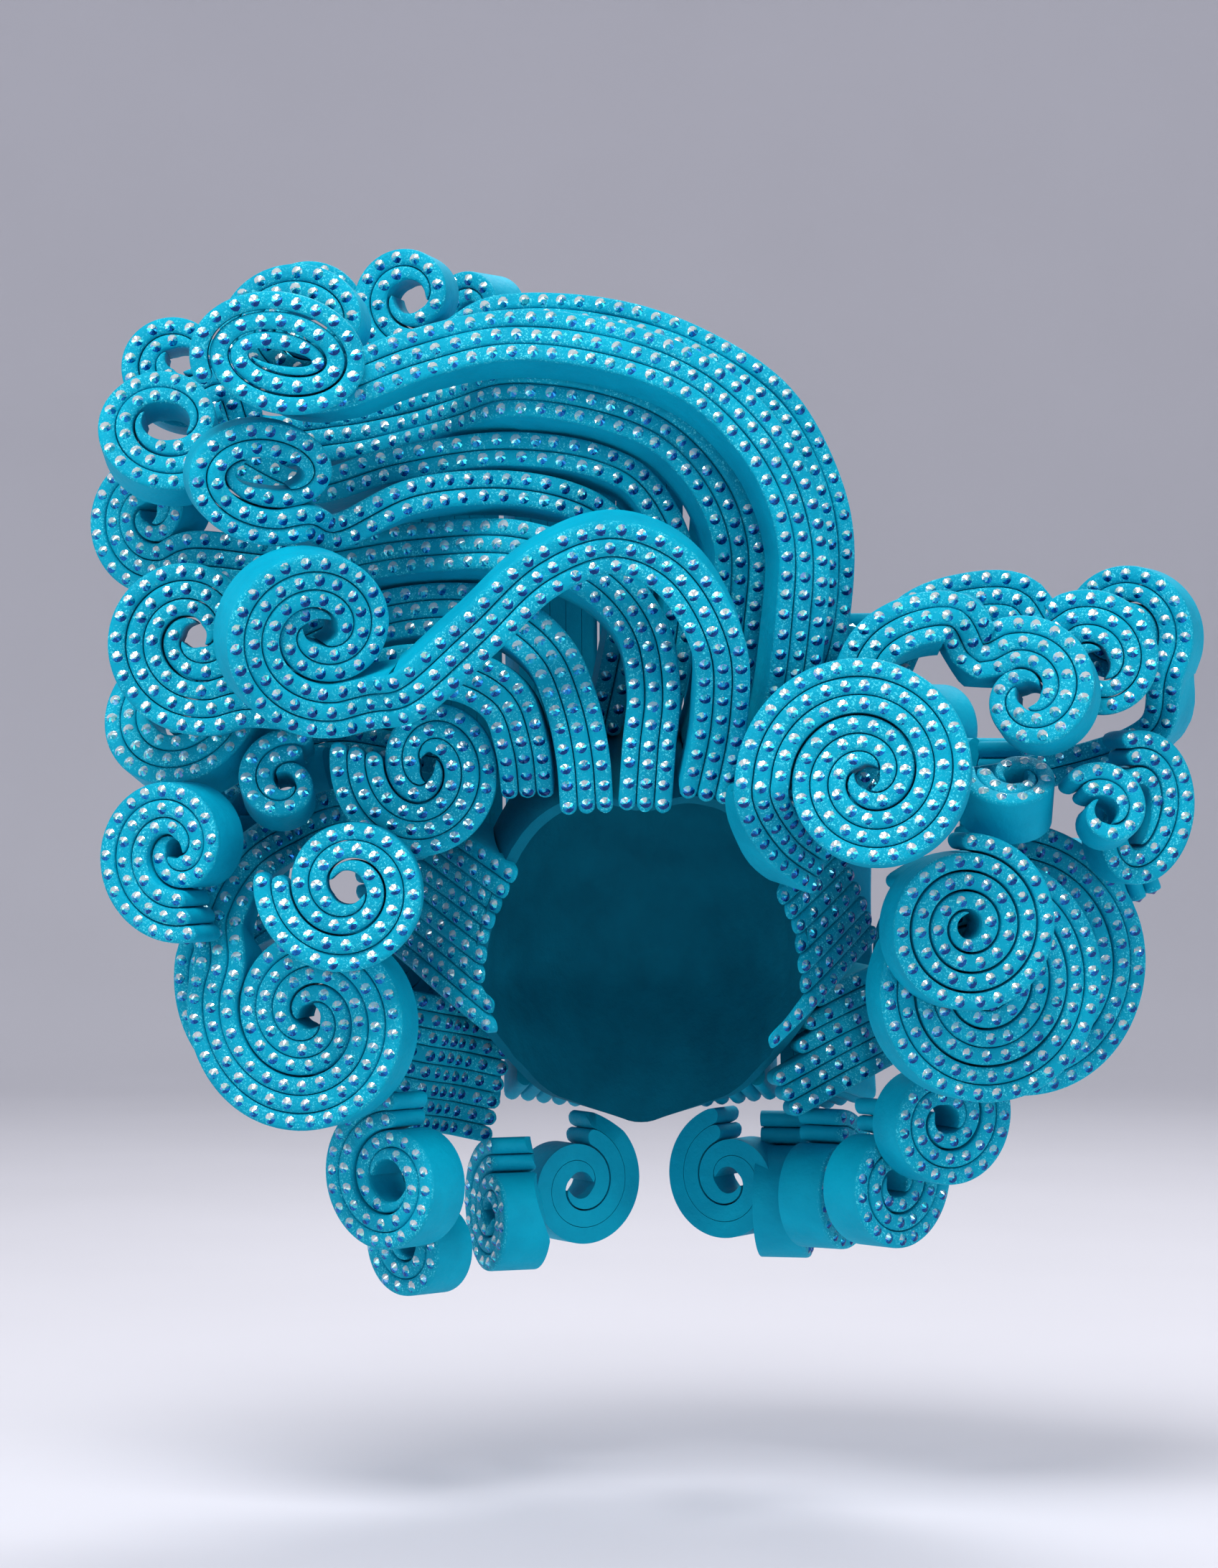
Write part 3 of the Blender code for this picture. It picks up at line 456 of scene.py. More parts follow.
# The stage, in metres: a round floor that bends up into a wall, and the paper that it is made of
FLOOR_UP = -0.34
STAGE_CENTRE = 0.4
STAGE_FLAT = 2.6
STAGE_RINGS = 8
STAGE_BEND = 1.2
STAGE_BENDS = 12
STAGE_HIGH = 3.4
STAGE_COLUMNS = 96
STAGE_COLOUR = (0.70, 0.69, 0.74)
STAGE_PALER = 0.97
STAGE_MOTTLE = (3.0, 2.0, 0.5)
STAGE_SPAN = (0.3, 0.7)
STAGE_ROUGH = 0.9
STAGE_SHINE = 0.2

# The camera and the lights, in metres
CAMERA_LENS = 100.0
CAMERA_SENSOR = 36.0
WORLD_COLOUR = (0.80, 0.85, 0.95)
WORLD_STRENGTH = 0.30
LIGHTS_AIM = (0.0, 0.0, 0.0)
LIGHTS = [
    # name, place, size, power, colour
    ("key", (-0.45, -1.25, 1.95), (1.3, 1.0), 50.0, (1.0, 1.0, 1.0)),
    ("fill_right", (2.0, -1.5, 0.5), (1.0, 1.6), 14.0, (0.9, 0.95, 1.0)),
    ("fill_left", (-2.0, -1.3, 0.3), (1.0, 1.6), 11.0, (0.9, 0.95, 1.0)),
    ("rim", (0.5, 1.4, 1.8), (1.2, 0.8), 30.0, (1.0, 1.0, 1.0)),
]

Scroll = namedtuple("Scroll", "name across up depth turn tilt reach long slant eye strips start hand sink")


def unit(v):
    return v / np.linalg.norm(v)


def facing(turn, tilt):
    """Direction that a face looks in, from the front round to the right, and up."""
    a, e = math.radians(turn), math.radians(tilt)
    return np.array([math.sin(a) * math.cos(e), -math.cos(a) * math.cos(e), math.sin(e)])


def place(across, up, depth):
    """Point at a depth that the front view shows at this place."""
    share = (depth + EYE_DISTANCE) / EYE_DISTANCE
    return np.array([EYE_ACROSS + (across - EYE_ACROSS) * share, depth, EYE_UP + (up - EYE_UP) * share])


def smooth_curve(points, per_span):
    """Centripetal Catmull-Rom curve through points of any dimension."""
    p = np.asarray(points, float)
    ext = np.vstack([2 * p[0] - p[1], p, 2 * p[-1] - p[-2]])
    out = []
    for i in range(1, len(ext) - 2):
        q = ext[i - 1:i + 3]
        chords = [np.linalg.norm(b[:3] - a[:3]) ** 0.5 for a, b in zip(q, q[1:])]
        t = np.concatenate([[0], np.cumsum(chords)])
        for s in range(per_span):
            x = t[1] + (t[2] - t[1]) * s / per_span
            a = [((t[k + 1] - x) * q[k] + (x - t[k]) * q[k + 1]) / (t[k + 1] - t[k]) for k in range(3)]
            b = [((t[k + 2] - x) * a[k] + (x - t[k]) * a[k + 1]) / (t[k + 2] - t[k]) for k in range(2)]
            out.append(((t[2] - x) * b[0] + (x - t[1]) * b[1]) / (t[2] - t[1]))
    out.append(p[-1])
    return np.array(out)


def run_along(rows):
    """Distance of each row from the first one, along the line of their points."""
    return np.concatenate([[0], np.cumsum(np.linalg.norm(np.diff(rows[:, :3], axis=0), axis=1))])


def rows_at(rows, run, at):
    """Rows at the distances given, where the rows at hand lie at the distances of run."""
    return np.stack([np.interp(at, run, rows[:, k]) for k in range(rows.shape[1])], 1)


def even_steps(curve, step):
    """Points at even steps along a curve."""
    run = run_along(curve)
    return rows_at(curve, run, np.linspace(0, run[-1], max(2, round(run[-1] / step) + 1)))


def scroll_stations(scroll, segments, tip=EYE_SHARE * STRIP_WIDE):
    """Stations of a scroll from its tail inwards until this much is left at its eye.

    A station is an outer edge, an inner edge and the direction of the face.
    """
    _, across, up, depth, turn, tilt, reach, long, slant, eye, strips, start, hand, sink = scroll
    face = facing(turn, tilt)
    level = unit(np.cross((0, 0, 1), face))
    upright = np.cross(face, level)
    lean = math.radians(slant)
    u = level * math.cos(lean) + upright * math.sin(lean)
    v = upright * math.cos(lean) - level * math.sin(lean)
    centre = place(across, up, depth)
    pitch = strips * STRIP_WIDE + TURN_GAP
    turns = (reach - eye - tip) / pitch
    count = math.ceil(turns * segments)
    stations = []
    for k in range(count + 1):
        done = min(k / segments, turns)
        angle = math.radians(start - slant) + hand * 2 * math.pi * done
        out = u * math.cos(angle) + v * math.sin(angle)
        base = centre + u * (long * math.cos(angle)) - face * (sink * done)
        outer = reach - pitch * done
        inner = max(outer - strips * STRIP_WIDE, eye)
        stations.append((base + out * outer, base + out * inner, face))
    return stations


def guided_rows(name):
    """Rows of a lock that runs beside its guide: the guide's first rows, moved inwards and forward."""
    rows = []
    for own, guide, count, inward, forward in BESIDE:
        if own != name:
            continue
        way = np.array([(*place(*r[1:4]), *facing(*r[4:])) for r in ROUTES if r[0] == guide])
        along = np.gradient(way[:, :3], axis=0)
        for row, t in list(zip(way, along))[:count]:
            side = unit(np.cross(t, row[3:]))
            rows.append((*(row[:3] - side * inward + row[3:] * forward), *row[3:]))
    return rows


def tail_path(name, scroll, joint):
    """Fine curve of the middle of a lock's tail and its face, up to its scroll where it has one."""
    rows = guided_rows(name)
    rows += [(*place(*r[1:4]), *facing(*r[4:])) for r in ROUTES if r[0] == name]
    if scroll and rows:
        outer, inner, face = joint
        middle = (outer + inner) / 2
        forward = scroll.hand * np.cross(face, unit(outer - inner))
        rows.append((*(middle - forward * LEAD_IN), *face))
        rows.append((*middle, *face))
    return smooth_curve(rows, SMOOTH_STEPS) if rows else None


def path_stations(path, strips, hand):
    """Stations at the points of a path that carries a face direction."""
    along = np.gradient(path[:, :3], axis=0)
    stations = []
    for row, t in zip(path, along):
        t = unit(t)
        f = unit(row[3:] - t * np.dot(row[3:], t))
        half = hand * unit(np.cross(t, f)) * strips * STRIP_WIDE / 2
        stations.append((row[:3] + half, row[:3] - half, f))
    return stations


def scroll_of(name):
    """The scroll that a lock ends in, or None."""
    return next((Scroll(*row) for row in SCROLLS if row[0] == name), None)


def lock_stations(name, step=TAIL_STEP, segments=TURN_SEGMENTS):
    """Stations of a lock's tail and of its scroll, and how many strips lie side by side in it."""
    scroll = scroll_of(name)
    strips = scroll.strips if scroll else LOCK_STRIPS[name]
    wound = scroll_stations(scroll, segments) if scroll else []
    path = tail_path(name, scroll, wound[0] if wound else None)
    tail = []
    if path is not None:
        tail = path_stations(even_steps(path, step), strips, scroll.hand if scroll else 1)
        tail = tail[:-1] if wound else tail
    return tail, wound, strips


def sweep_stations(across, turn, scale, high):
    """Fine stations of a lock that runs from the top down the back."""
    rows = []
    for depth, up, tilt in SWEEP_PROFILE:
        rows.append((across, depth * scale, up * high if up > 0 else up, *facing(turn, tilt)))
    return path_stations(even_steps(smooth_curve(rows, SMOOTH_STEPS), FINE_TAIL), SWEEP_STRIPS, 1)


def lock_line(name):
    """The line along which a lock was moved to its rest: towards the eye where the front shows its face."""
    scroll = scroll_of(name)
    across, up, depth, turn, tilt = scroll[1:6] if scroll else next(r[1:] for r in ROUTES if r[0] == name)
    face = facing(turn, tilt)
    if face[1] > SEEN_IN_FRONT:
        return face
    return unit(np.array([EYE_ACROSS, -EYE_DISTANCE, EYE_UP]) - place(across, up, depth))


def head_point(angle, up, out):
    """Point on the head at an angle from the front and a height, moved out from its surface."""
    above = up > -HEAD_TALL
    if above:
        size = math.sqrt(max(1 - ((up + HEAD_TALL) / HEAD_TALL) ** 2, 0))
    else:
        size = 1 + NECK_TAPER * (up + HEAD_TALL)
    a = math.radians(angle)
    wide, long = HEAD_WIDE * size, HEAD_LONG * size
    point = np.array([wide * math.sin(a), -long * math.cos(a), up])
    rise = (up + HEAD_TALL) / HEAD_TALL ** 2 if above else 0.0
    normal = np.array([point[0] / HEAD_WIDE ** 2, point[1] / HEAD_LONG ** 2, rise])
    return point + unit(normal) * out


def cap_edge(angle):
    """Height of the cap's edge at an angle to either side of the front, up to half a turn."""
    return np.interp(np.abs(angle), *zip(*CAP_EDGE))


def node_points(node):
    """Corners of a solid of the frame, in millimetres."""
    flat = np.zeros(len(node.data.vertices) * 3)
    node.data.vertices.foreach_get("co", flat)
    return flat.reshape(-1, 3) / MM


def station_moves(name, node):
    """How each station moved when its lock was laid, None where it was cut off, and the line of the moves."""
    tail, wound, _ = lock_stations(name)
    points = node_points(node)
    tree = KDTree(len(points))
    for index, point in enumerate(points):
        tree.insert(Vector(point), index)
    tree.balance()
    line = lock_line(name)
    moves = []
    for outer, inner, _ in tail + wound[:1]:
        best = None
        for _, index, _ in tree.find_range(Vector(outer), MOVE_REACH):
            move = points[index] - outer
            if tree.find(Vector(inner + move))[2] > MATCH_WITHIN:
                continue
            aside = float(np.linalg.norm(move - line * np.dot(move, line)))
            if aside < ASIDE_MOST and (best is None or aside < best[0]):
                best = (aside, move)
        moves.append(best[1] if best else None)
    return moves, line


def filled_moves(moves, line):
    """Moves of all stations: those of the stations that were cut off at the root follow from the next one."""
    known = [m for m in moves if m is not None]
    rigid = min(known, key=lambda m: float(np.dot(m, line)))
    out = list(moves)
    for k in range(len(out) - 2, -1, -1):
        if out[k] is None and out[k + 1] is not None:
            lift = float(np.dot(out[k + 1] - rigid, line)) - TAIL_STEP * STEEPEST_LIFT
            out[k] = rigid + line * max(lift, 0.0)
    for k in range(1, len(out)):
        if out[k] is None:
            out[k] = out[k - 1]
    return np.array(out)


def laid_stations(name, node):
    """Fine stations of a lock as it was laid, how many of them are its tail's, and its number of strips."""
    moves = filled_moves(*station_moves(name, node))
    tail, wound, strips = lock_stations(name, FINE_TAIL, FINE_TURN)
    if wound:
        wound = scroll_stations(scroll_of(name), FINE_TURN, TIP_LEFT)
    stations = []
    last = len(tail) - (0 if wound else 1)
    for k, (outer, inner, face) in enumerate(tail):
        at = k / last * (len(moves) - 1)
        move = np.array([np.interp(at, range(len(moves)), moves[:, c]) for c in range(3)])
        stations.append((outer + move, inner + move, face))
    stations += [(o + moves[-1], i + moves[-1], f) for o, i, f in wound]
    return stations, len(tail), strips


def strip_lines(stations, tail_count, strips, scroll):
    """Middle line, side, face and half width of each strip of a lock, which narrows as it closes on the eye."""
    lines = []
    reach, eye = (scroll.reach, scroll.eye) if scroll else (0.0, 0.0)
    pitch = strips * STRIP_WIDE + TURN_GAP
    turns = (reach - eye - TIP_LEFT) / pitch
    for j in range(strips):
        rows = []
        for k, (outer, inner, face) in enumerate(stations):
            side = unit(outer - inner)
            wide = STRIP_WIDE
            if k >= tail_count:
                from_centre = reach - pitch * min((k - tail_count) / FINE_TURN, turns) - j * STRIP_WIDE
                wide = min(STRIP_WIDE, from_centre - eye)
                if wide < TIP_WIDE:
                    break
            inward = j * STRIP_WIDE + wide / 2
            rows.append((*(outer - side * inward), *side, *face, (wide - STRIP_GAP) / 2))
        lines.append(np.array(rows))
    return lines


def even_rows(rows):
    """Rows evenly spaced between stones, closer at the ends, with their distances, and which carry stones."""
    run = run_along(rows)
    stones = max(1, round((run[-1] - 2 * END_MARGIN) / STONE_STEP))
    end = np.array(END_SHARES) * END_ROUND
    at = np.concatenate([
        end,
        np.linspace(END_MARGIN, run[-1] - END_MARGIN, stones * STEPS_PER_STONE + 1),
        run[-1] - end[::-1],
    ])
    out = rows_at(rows, run, at)
    for a in (3, 6):
        out[:, a:a + 3] /= np.linalg.norm(out[:, a:a + 3], axis=1)[:, None]
    return out, at, len(end) + STEPS_PER_STONE * np.arange(stones + 1)


def end_rounding(at):
    """Share of the full width at each row, which falls off in a round at both ends."""
    from_end = np.minimum(at, at[-1] - at)
    left = np.clip(1 - from_end / END_ROUND, 0, 1)
    return np.sqrt(np.clip(1 - left ** 2, END_LEAST, 1))


def seat_room(points):
    """How far points lie outside the cap, or outside the head below the cap's edge. Less than 0: inside."""
    angle = np.degrees(np.arctan2(points[..., 0], -points[..., 1]))
    up = points[..., 2]
    out = np.where(up > cap_edge(angle) - SEAT_BELOW, SEAT_ROOM, HEAD_GAP)
    low = up < -HEAD_TALL
    across = points[..., 0] / (HEAD_WIDE + out)
    along = points[..., 1] / (HEAD_LONG + out)
    rise = np.where(low, 0.0, (up + HEAD_TALL) / (HEAD_TALL + out))
    size = np.where(low, 1 + NECK_TAPER * (up + HEAD_TALL), 1.0)
    return (np.sqrt((across / size) ** 2 + (along / size) ** 2 + rise ** 2) - 1) * HEAD_WIDE


def rows_outside(rows):
    """Rows of a strip from where it leaves the cap, or up to where it enters it."""
    inside = np.nonzero(seat_room(rows[:, :3]) < 0)[0]
    if not len(inside):
        return rows
    return rows[inside[-1] + 1:] if inside[-1] < len(rows) // 2 else rows[:inside[0]]


def profile_rings(rows, rise, round_off, is_stone):
    """Points of a strip's surface: one ring of the profile at each row."""
    centre, side, face, half = rows[:, :3], rows[:, 3:6], rows[:, 6:9], rows[:, 9]
    rings = np.zeros((len(rows), len(PROFILE), 3))
    for c, (share, behind) in enumerate(PROFILE):
        depth = np.full(len(rows), behind)
        if behind < STRIP_DEEP:
            depth += END_DROP * (1 - round_off) - rise
        if c in DIMPLE_SHARES:
            depth += DIMPLE * DIMPLE_SHARES[c] * is_stone
        base = centre + side * (half * round_off * share)[:, None]
        rings[:, c] = base - face * depth[:, None]
    return rings


def clip_to_seat(rings, face):
    """Bring what reaches into the cap forward along the face until it is outside."""
    flat = rings.reshape(-1, 3).copy()
    inside = seat_room(flat) < 0
    start = flat[inside]
    way = np.repeat(face, rings.shape[1], axis=0)[inside]
    low, high = np.zeros(len(start)), np.full(len(start), STRIP_DEEP)
    for _ in range(SEAT_STEPS):
        middle = (low + high) / 2
        bad = seat_room(start + way * middle[:, None]) < 0
        low, high = np.where(bad, middle, low), np.where(bad, high, middle)
    flat[inside] = start + way * high[:, None]
    return flat.reshape(rings.shape)


def add_strip(strips, stones, rows, rng, cover, own):
    """One strip with its row of stones."""
    rows = rows_outside(rows)
    if len(rows) < FEWEST_ROWS:
        return
    rows, at, places = even_rows(rows)
    phase, lift = rng.uniform(0, 2 * math.pi), rng.uniform(-STRIP_RISE, STRIP_RISE)
    rise = lift + WAVE_RISE * np.sin(at / WAVE_LONG * 2 * math.pi + phase)
    is_stone = np.zeros(len(rows))
    is_stone[places] = 1.0
    strips.append(clip_to_seat(profile_rings(rows, rise, end_rounding(at), is_stone), rows[:, 6:9]))
    for place_at in places:
        add_stone(stones, rows[place_at], rise[place_at] - DIMPLE, rng, cover, own)


def add_stone(stones, row, up, rng, cover, own):
    """One stone on a strip's face, unless the strip is too narrow there or another lock lies on it."""
    centre, side, face, half = row[:3], row[3:6], row[6:9], row[9]
    lean_side, lean_along, aside, ahead, spin = rng.uniform(-1, 1, 5)
    spark = rng.uniform()
    if half < STONE_ROOM:
        return
    tree, owners = cover
    hit, _, index, _ = tree.ray_cast(Vector(centre + face * COVER_START), Vector(face), COVER_NEAR)
    if hit is not None and owners[index] != own:
        return
    along = np.cross(side, face)
    normal = unit(face + STONE_LEAN * (lean_side * side + lean_along * along))
    u = unit(side - normal * np.dot(side, normal))
    v = np.cross(normal, u)
    base = centre + face * up + side * STONE_ASIDE * aside + along * STONE_ALONG * ahead
    rings = []
    for radius, height, turn in STONE_RINGS:
        angles = spin * math.pi + (np.arange(STONE_SIDES) + turn) * 2 * math.pi / STONE_SIDES
        round_it = np.cos(angles)[:, None] * u + np.sin(angles)[:, None] * v
        rings.append(base + STONE_RADIUS * (radius * round_it + height * normal))
    stones.append((np.array(rings), spark))


def cover_of(nodes):
    """All solids of the frame as one surface, and which node each of its faces belongs to."""
    points, faces, owners = [], [], []
    for name, node in sorted(nodes.items()):
        start = len(points)
        points += [Vector(p) for p in node_points(node)]
        for polygon in node.data.polygons:
            faces.append([start + i for i in polygon.vertices])
            owners.append(name)
    return BVHTree.FromPolygons(points, faces), owners


def add_object(name, data):
    """An object in the scene that shows this data."""
    item = bpy.data.objects.new(name, data)
    bpy.context.scene.collection.objects.link(item)
    return item


def valued_object(name, points, faces, material, attribute, values):
    """An object of points in millimetres, with a value at each point for its material to read."""
    mesh = bpy.data.meshes.new(name)
    mesh.from_pydata((np.vstack(points) * MM).tolist(), [], faces)
    layer = mesh.attributes.new(attribute, "FLOAT", "POINT")
    layer.data.foreach_set("value", np.array(values, np.float32))
    mesh.materials.append(material)
    return add_object(name, mesh)


def ring_object(name, rings, material, lid):
    """A smooth object of rings of points in metres, closed at its first ring and, with a lid, at its last."""
    bm = bmesh.new()
    made = [[bm.verts.new(Vector(p)) for p in ring] for ring in rings]
    for a, b in zip(made, made[1:]):
        for i in range(len(a)):
            j = (i + 1) % len(a)
            bm.faces.new((a[i], a[j], b[j], b[i]))
    bm.faces.new(made[0][::-1])
    if lid:
        bm.faces.new(made[-1])
    bmesh.ops.recalc_face_normals(bm, faces=bm.faces)
    mesh = bpy.data.meshes.new(name)
    bm.to_mesh(mesh)
    bm.free()
    mesh.shade_smooth()
    mesh.materials.append(material)
    return add_object(name, mesh)


def strip_faces(start, rows, columns):
    """Faces of one strip: quads between its rings, and both ends."""
    faces = []
    for r in range(rows - 1):
        for c in range(columns):
            d = (c + 1) % columns
            a = start + r * columns
            b = a + columns
            faces.append((a + c, a + d, b + d, b + c))
    ends = start + np.arange(columns), start + (rows - 1) * columns + np.arange(columns)
    return faces + [tuple(ends[0][::-1].tolist()), tuple(ends[1].tolist())]


def stone_faces(start):
    """Facets of one stone: its rim, two rings of triangles, and its table."""
    corners = start + np.arange(len(STONE_RINGS) * STONE_SIDES)
    rim, girdle, middle, table = corners.reshape(-1, STONE_SIDES).tolist()
    faces = []
    for c in range(STONE_SIDES):
        d = (c + 1) % STONE_SIDES
        faces.append((rim[c], rim[d], girdle[d], girdle[c]))
        faces.append((girdle[c], girdle[d], middle[c]))
        faces.append((girdle[d], middle[d], middle[c]))
        faces.append((middle[c], middle[d], table[d]))
        faces.append((middle[c], table[d], table[c]))
    return faces + [tuple(table)]


def make_strips(name, strips, material):
    """One mesh of all the strips of a lock, whose value is 1 on the stoned faces."""
    faces, values, start = [], [], 0
    for rings in strips:
        rows, columns = rings.shape[:2]
        faces += strip_faces(start, rows, columns)
        on_face = np.zeros((rows, columns))
        on_face[:, FACE_COLUMNS] = 1.0
        values += on_face.ravel().tolist()
        start += rows * columns
    piece = valued_object(name, [r.reshape(-1, 3) for r in strips], faces, material, "stoned", values)
    piece.data.shade_smooth()
    piece.data.set_sharp_from_angle(angle=math.radians(SHARP_FOAM))
    return piece


def make_stones(name, stones, material):
    """One mesh of all the stones of a lock, with flat facets and one value for each stone."""
    corners = STONE_SIDES * len(STONE_RINGS)
    points, faces, values = [], [], []
    for index, (rings, spark) in enumerate(stones):
        points.append(rings.reshape(-1, 3))
        faces += stone_faces(index * corners)
        values += [spark] * corners
    return valued_object(name, points, faces, material, "spark", values)


def smooth_edge(angle):
    """Height of the cap's edge, with its corners rounded off."""
    return sum(cap_edge((angle + d + 180) % 360 - 180) for d in EDGE_TURNS) / len(EDGE_TURNS)


def seam_depth(angle, up):
    """How far the inside is pressed in at a seam between two gores of the cap."""
    size = math.sqrt(max(1 - ((up + HEAD_TALL) / HEAD_TALL) ** 2, 0)) if up > -HEAD_TALL else 1
    gore = 360 / GORES
    off = abs((angle + gore / 2) % gore - gore / 2)
    across = math.radians(off) * HEAD_WIDE * size
    return SEAM_DEEP * math.exp(-(across / SEAM_WIDE) ** 2)


def cap_ring(share, outside):
    """Points round the cap at a share of the way from its edge to its crown, on its outside or inside."""
    left = (1 - share) ** CAP_ROW_BEND
    ring = []
    for column in range(CAP_FINE_COLUMNS):
        angle = 360 * column / CAP_FINE_COLUMNS
        up = smooth_edge(angle) * left - HEAD_TALL * CAP_CROWN * (1 - left)
        ring.append(head_point(angle, up, CAP_THICK if outside else seam_depth(angle, up)) * MM)
    return ring


def cap_piece(material):
    """The cap, smooth, with its gores' seams pressed in on the inside."""
    shares = [row / CAP_FINE_ROWS for row in range(CAP_FINE_ROWS)]
    rings = [cap_ring(share, False) for share in reversed(shares)] + [cap_ring(share, True) for share in shares]
    cap = ring_object("cap_shell", rings, material, True)
    cap.data.set_sharp_from_angle(angle=math.radians(SHARP_FOAM))
    return cap


def node_of(material, kind, **inputs):
    """A new shader node with some of its inputs set."""
    item = material.node_tree.nodes.new(kind)
    for key, value in inputs.items():
        item.inputs[key.replace("_", " ")].default_value = value
    return item


def new_material(name, **inputs):
    """A new material, its links, and its shader with some of its inputs set."""
    material = bpy.data.materials.new(name)
    material.use_nodes = True
    shader = material.node_tree.nodes["Principled BSDF"]
    for key, value in inputs.items():
        shader.inputs[key.replace("_", " ")].default_value = value
    return material, material.node_tree.links, shader


def object_place(material):
    """Place on the object, for its noises."""
    return node_of(material, "ShaderNodeTexCoord").outputs["Object"]


def noise(material, place_in, kind):
    """Value of a noise of this scale, detail and roughness at the places given."""
    scale, detail, rough = kind
    item = node_of(material, "ShaderNodeTexNoise", Scale=scale, Detail=detail, Roughness=rough)
    material.node_tree.links.new(place_in, item.inputs["Vector"])
    return item.outputs["Fac"]


def spread(material, value, span, to=(0.0, 1.0)):
    """A value mapped from one span to another, and held at its ends."""
    (a, b), (c, d) = span, to
    item = node_of(material, "ShaderNodeMapRange", From_Min=a, From_Max=b, To_Min=c, To_Max=d)
    material.node_tree.links.new(value, item.inputs["Value"])
    return item.outputs["Result"]


def combine(material, operation, *values):
    """A sum done on values, each of them a socket or a number."""
    item = node_of(material, "ShaderNodeMath")
    item.operation = operation
    for k, value in enumerate(values):
        if isinstance(value, (int, float)):
            item.inputs[k].default_value = value
        else:
            material.node_tree.links.new(value, item.inputs[k])
    return item.outputs["Value"]


def ramp_of(material, value, stops):
    """Colour of a value along a row of stops."""
    item = node_of(material, "ShaderNodeValToRGB")
    stop_list = item.color_ramp.elements
    stop_list[0].position, stop_list[1].position = stops[0][0], stops[-1][0]
    stop_list[0].color, stop_list[1].color = (*stops[0][1], 1), (*stops[-1][1], 1)
    for at, colour in stops[1:-1]:
        stop_list.new(at).color = (*colour, 1)
    material.node_tree.links.new(value, item.inputs["Fac"])
    return item.outputs["Color"]


def attribute_of(material, name):
    """Value that the mesh carries under this name."""
    item = node_of(material, "ShaderNodeAttribute")
    item.attribute_name = name
    return item.outputs["Fac"]


def strip_foam(name, stops, rough):
    """Foam with a satin skin on its flanks, and a rubbed grain on its stoned edge with light flecks of glitter
    glue, whose light colour is a painted glint.
    """
    material, links, shader = new_material(name, Specular_IOR_Level=FOAM_SHINE)
    place_in = object_place(material)
    stoned = attribute_of(material, "stoned")
    glint_specks = spread(material, noise(material, place_in, GLINT_SPECKS), GLINT_SPECK_SPAN)
    glint_patches = spread(material, noise(material, place_in, GLINT_PATCHES), GLINT_PATCH_SPAN)
    # Specks on the stoned faces are painted in a light colour as the glints of the glitter glue on them
    fleck_glint_mix = node_of(material, "ShaderNodeMix")
    fleck_glint_mix.data_type = "RGBA"
    fleck_glint_mix.inputs["B"].default_value = (*FLECK_GLINT_COLOUR, 1)
    fleck_glint = combine(material, "MULTIPLY", combine(material, "MULTIPLY", glint_specks, glint_patches), stoned)
    links.new(fleck_glint, fleck_glint_mix.inputs["Factor"])
    links.new(ramp_of(material, noise(material, place_in, CLOUD), stops), fleck_glint_mix.inputs["A"])
    links.new(fleck_glint_mix.outputs["Result"], shader.inputs["Base Color"])
    grain = noise(material, place_in, GRAIN)
    fine = combine(material, "MULTIPLY", grain, spread(material, stoned, (0.0, 1.0), GRAIN_SHARES))
    height = combine(material, "MULTIPLY_ADD", noise(material, place_in, CREASE), CREASE_SHARE, fine)
    bump = node_of(material, "ShaderNodeBump", Strength=BUMP_STRENGTH, Distance=BUMP_DEEP)
    links.new(height, bump.inputs["Height"])
    links.new(bump.outputs["Normal"], shader.inputs["Normal"])
    links.new(spread(material, grain, GRAIN_SPAN, rough), shader.inputs["Roughness"])
    return material


def crystal():
    """Cut glass on foil, whose facets are painted white as a highlight where they face up and forward towards
    the key light and dark blue as shade where they face away, with teal, violet and mint between, varied by
    facet and stone.
    """
    material, links, shader = new_material(
        "stone_crystal", Metallic=STONE_METAL, Roughness=STONE_ROUGH, Specular_IOR_Level=STONE_SHINE)
    spark = attribute_of(material, "spark")
    geometry = node_of(material, "ShaderNodeNewGeometry")
    split = node_of(material, "ShaderNodeSeparateXYZ")
    links.new(geometry.outputs["True Normal"], split.inputs["Vector"])
    x, y, z = split.outputs["X"], split.outputs["Y"], split.outputs["Z"]
    # Facets that face the key light are painted white as a highlight, and those that face away are painted dark
    # blue as shade
    painted_highlight_share = combine(material, "MULTIPLY", combine(material, "ABSOLUTE", y), PAINTED_HIGHLIGHT_TOWARD[1])
    painted_highlight_share = combine(material, "MULTIPLY_ADD", x, PAINTED_HIGHLIGHT_TOWARD[0], painted_highlight_share)
    painted_highlight_share = combine(material, "MULTIPLY_ADD", z, PAINTED_HIGHLIGHT_TOWARD[2], painted_highlight_share)
    mixed = combine(material, "MULTIPLY_ADD", x, FACET_MIX_X, combine(material, "MULTIPLY", z, FACET_MIX_Z))
    mixed = combine(material, "MULTIPLY_ADD", spark, FACET_MIX_SPARK, mixed)
    value = combine(material, "MULTIPLY_ADD", combine(material, "FRACT", mixed), FACET_PLAY, painted_highlight_share)
    value = combine(material, "MULTIPLY_ADD", spark, SPARK_PLAY, value)
    links.new(ramp_of(material, value, STONE_SHADE_TO_HIGHLIGHT_COLOURS), shader.inputs["Base Color"])
    return material


def stage_paper():
    """Matt paper with a very faint mottle."""
    material, links, shader = new_material("floor_paper", Roughness=STAGE_ROUGH, Specular_IOR_Level=STAGE_SHINE)
    pale = [c * STAGE_PALER for c in STAGE_COLOUR]
    mottle = noise(material, object_place(material), STAGE_MOTTLE)
    stops = [(STAGE_SPAN[0], pale), (STAGE_SPAN[1], STAGE_COLOUR)]
    links.new(ramp_of(material, mottle, stops), shader.inputs["Base Color"])
    return material


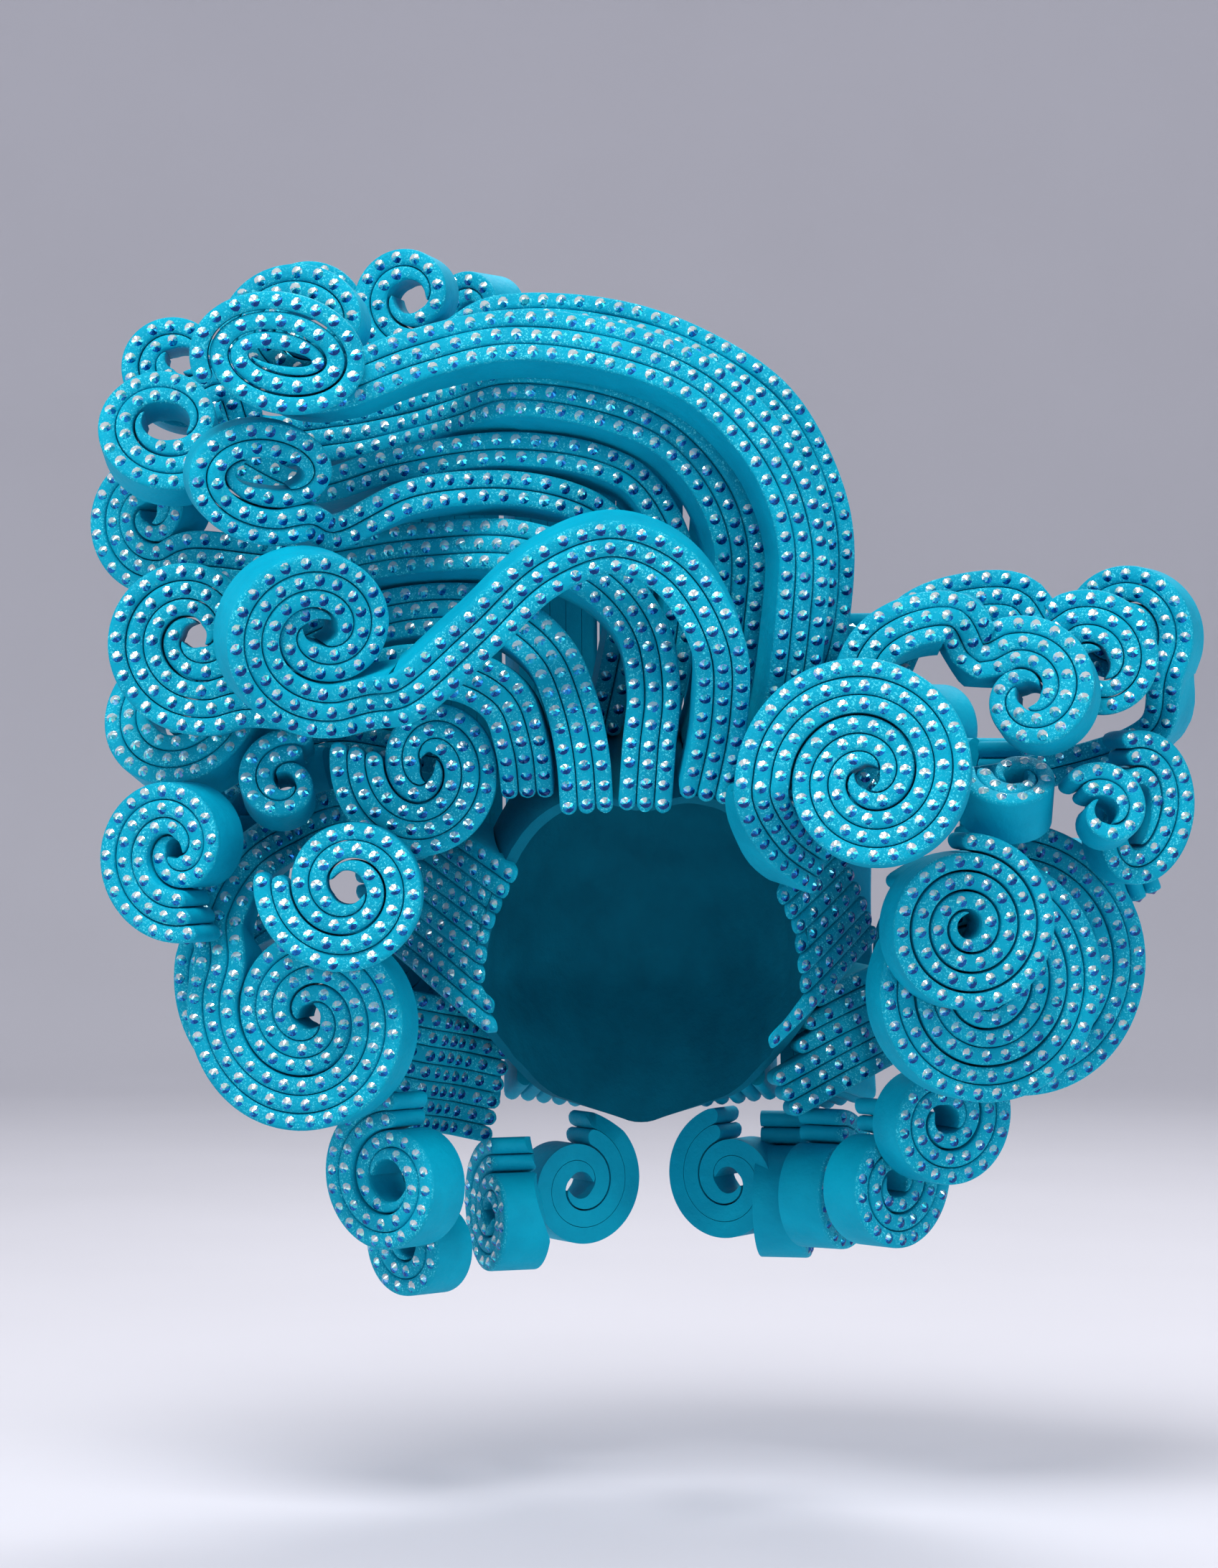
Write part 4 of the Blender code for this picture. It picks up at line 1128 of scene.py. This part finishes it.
def add_backdrop():
    """A pale round floor that sweeps up into a wall on all sides."""
    section = [(r, FLOOR_UP) for r in np.linspace(STAGE_CENTRE, STAGE_FLAT, STAGE_RINGS)]
    for a in np.linspace(0, math.pi / 2, STAGE_BENDS + 1)[1:]:
        section.append((STAGE_FLAT + STAGE_BEND * math.sin(a), FLOOR_UP + STAGE_BEND * (1 - math.cos(a))))
    section.append((STAGE_FLAT + STAGE_BEND, STAGE_HIGH))
    turns = [2 * math.pi * k / STAGE_COLUMNS for k in range(STAGE_COLUMNS)]
    rings = [[(r * math.cos(a), r * math.sin(a), z) for a in turns] for r, z in section]
    ring_object("floor", rings, stage_paper(), False)


def add_light(name, place_at, size, power, colour):
    """A soft rectangular light that faces the wig."""
    data = bpy.data.lights.new(name, "AREA")
    data.shape = "RECTANGLE"
    data.size, data.size_y = size
    data.energy = power
    data.color = colour
    item = add_object(name, data)
    item.location = place_at
    item.rotation_mode = "QUATERNION"
    item.rotation_quaternion = (Vector(LIGHTS_AIM) - Vector(place_at)).to_track_quat("-Z", "Y")
    item.visible_camera = False


def add_camera():
    """The camera at the eye that the front view is read from."""
    data = bpy.data.cameras.new("camera")
    data.lens = CAMERA_LENS
    data.sensor_width = CAMERA_SENSOR
    item = add_object("camera", data)
    item.location = (EYE_ACROSS * MM, -EYE_DISTANCE * MM, EYE_UP * MM)
    item.rotation_euler = (math.radians(90), 0, 0)
    bpy.context.scene.camera = item
    bpy.context.scene.view_settings.view_transform = "Standard"


def set_world():
    """Faint even light from all sides."""
    world = bpy.data.worlds.new("studio")
    bpy.context.scene.world = world
    world.use_nodes = True
    back = world.node_tree.nodes["Background"]
    back.inputs["Color"].default_value = (*WORLD_COLOUR, 1)
    back.inputs["Strength"].default_value = WORLD_STRENGTH


def dress(nodes):
    """Every lock as strips and stones in place of its plain solid, and the cap."""
    foam = strip_foam("strip_foam", FOAM_STOPS, FOAM_ROUGH)
    glass = crystal()
    cover = cover_of(nodes)
    rng = np.random.default_rng(SEED)
    jobs = []
    for name in sorted(LAY_ORDER):
        stations, tail_count, strips = laid_stations(name, nodes[name])
        jobs.append((name, strip_lines(stations, tail_count, strips, scroll_of(name))))
    for name, *numbers in SWEEPS:
        stations = sweep_stations(*numbers)
        jobs.append((name, strip_lines(stations, len(stations), SWEEP_STRIPS, None)))
    for name, lines in jobs:
        strips, stones = [], []
        for line in lines:
            add_strip(strips, stones, line, rng, cover, name)
        piece = make_strips(name + "_strips", strips, foam)
        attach(piece, "root")
        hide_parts(name)
        if stones:
            gems = make_stones(name + "_stones", stones, glass)
            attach(gems, "root")
    # The cap gets the darker foam, which is painted shade for the wig's shadowed inside
    cap = cap_piece(strip_foam("cap_foam", CAP_PAINTED_SHADE_STOPS, CAP_ROUGH))
    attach(cap, "root")
    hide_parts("cap")


dress(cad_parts)
add_backdrop()
add_camera()
set_world()
for light in LIGHTS:
    add_light(*light)
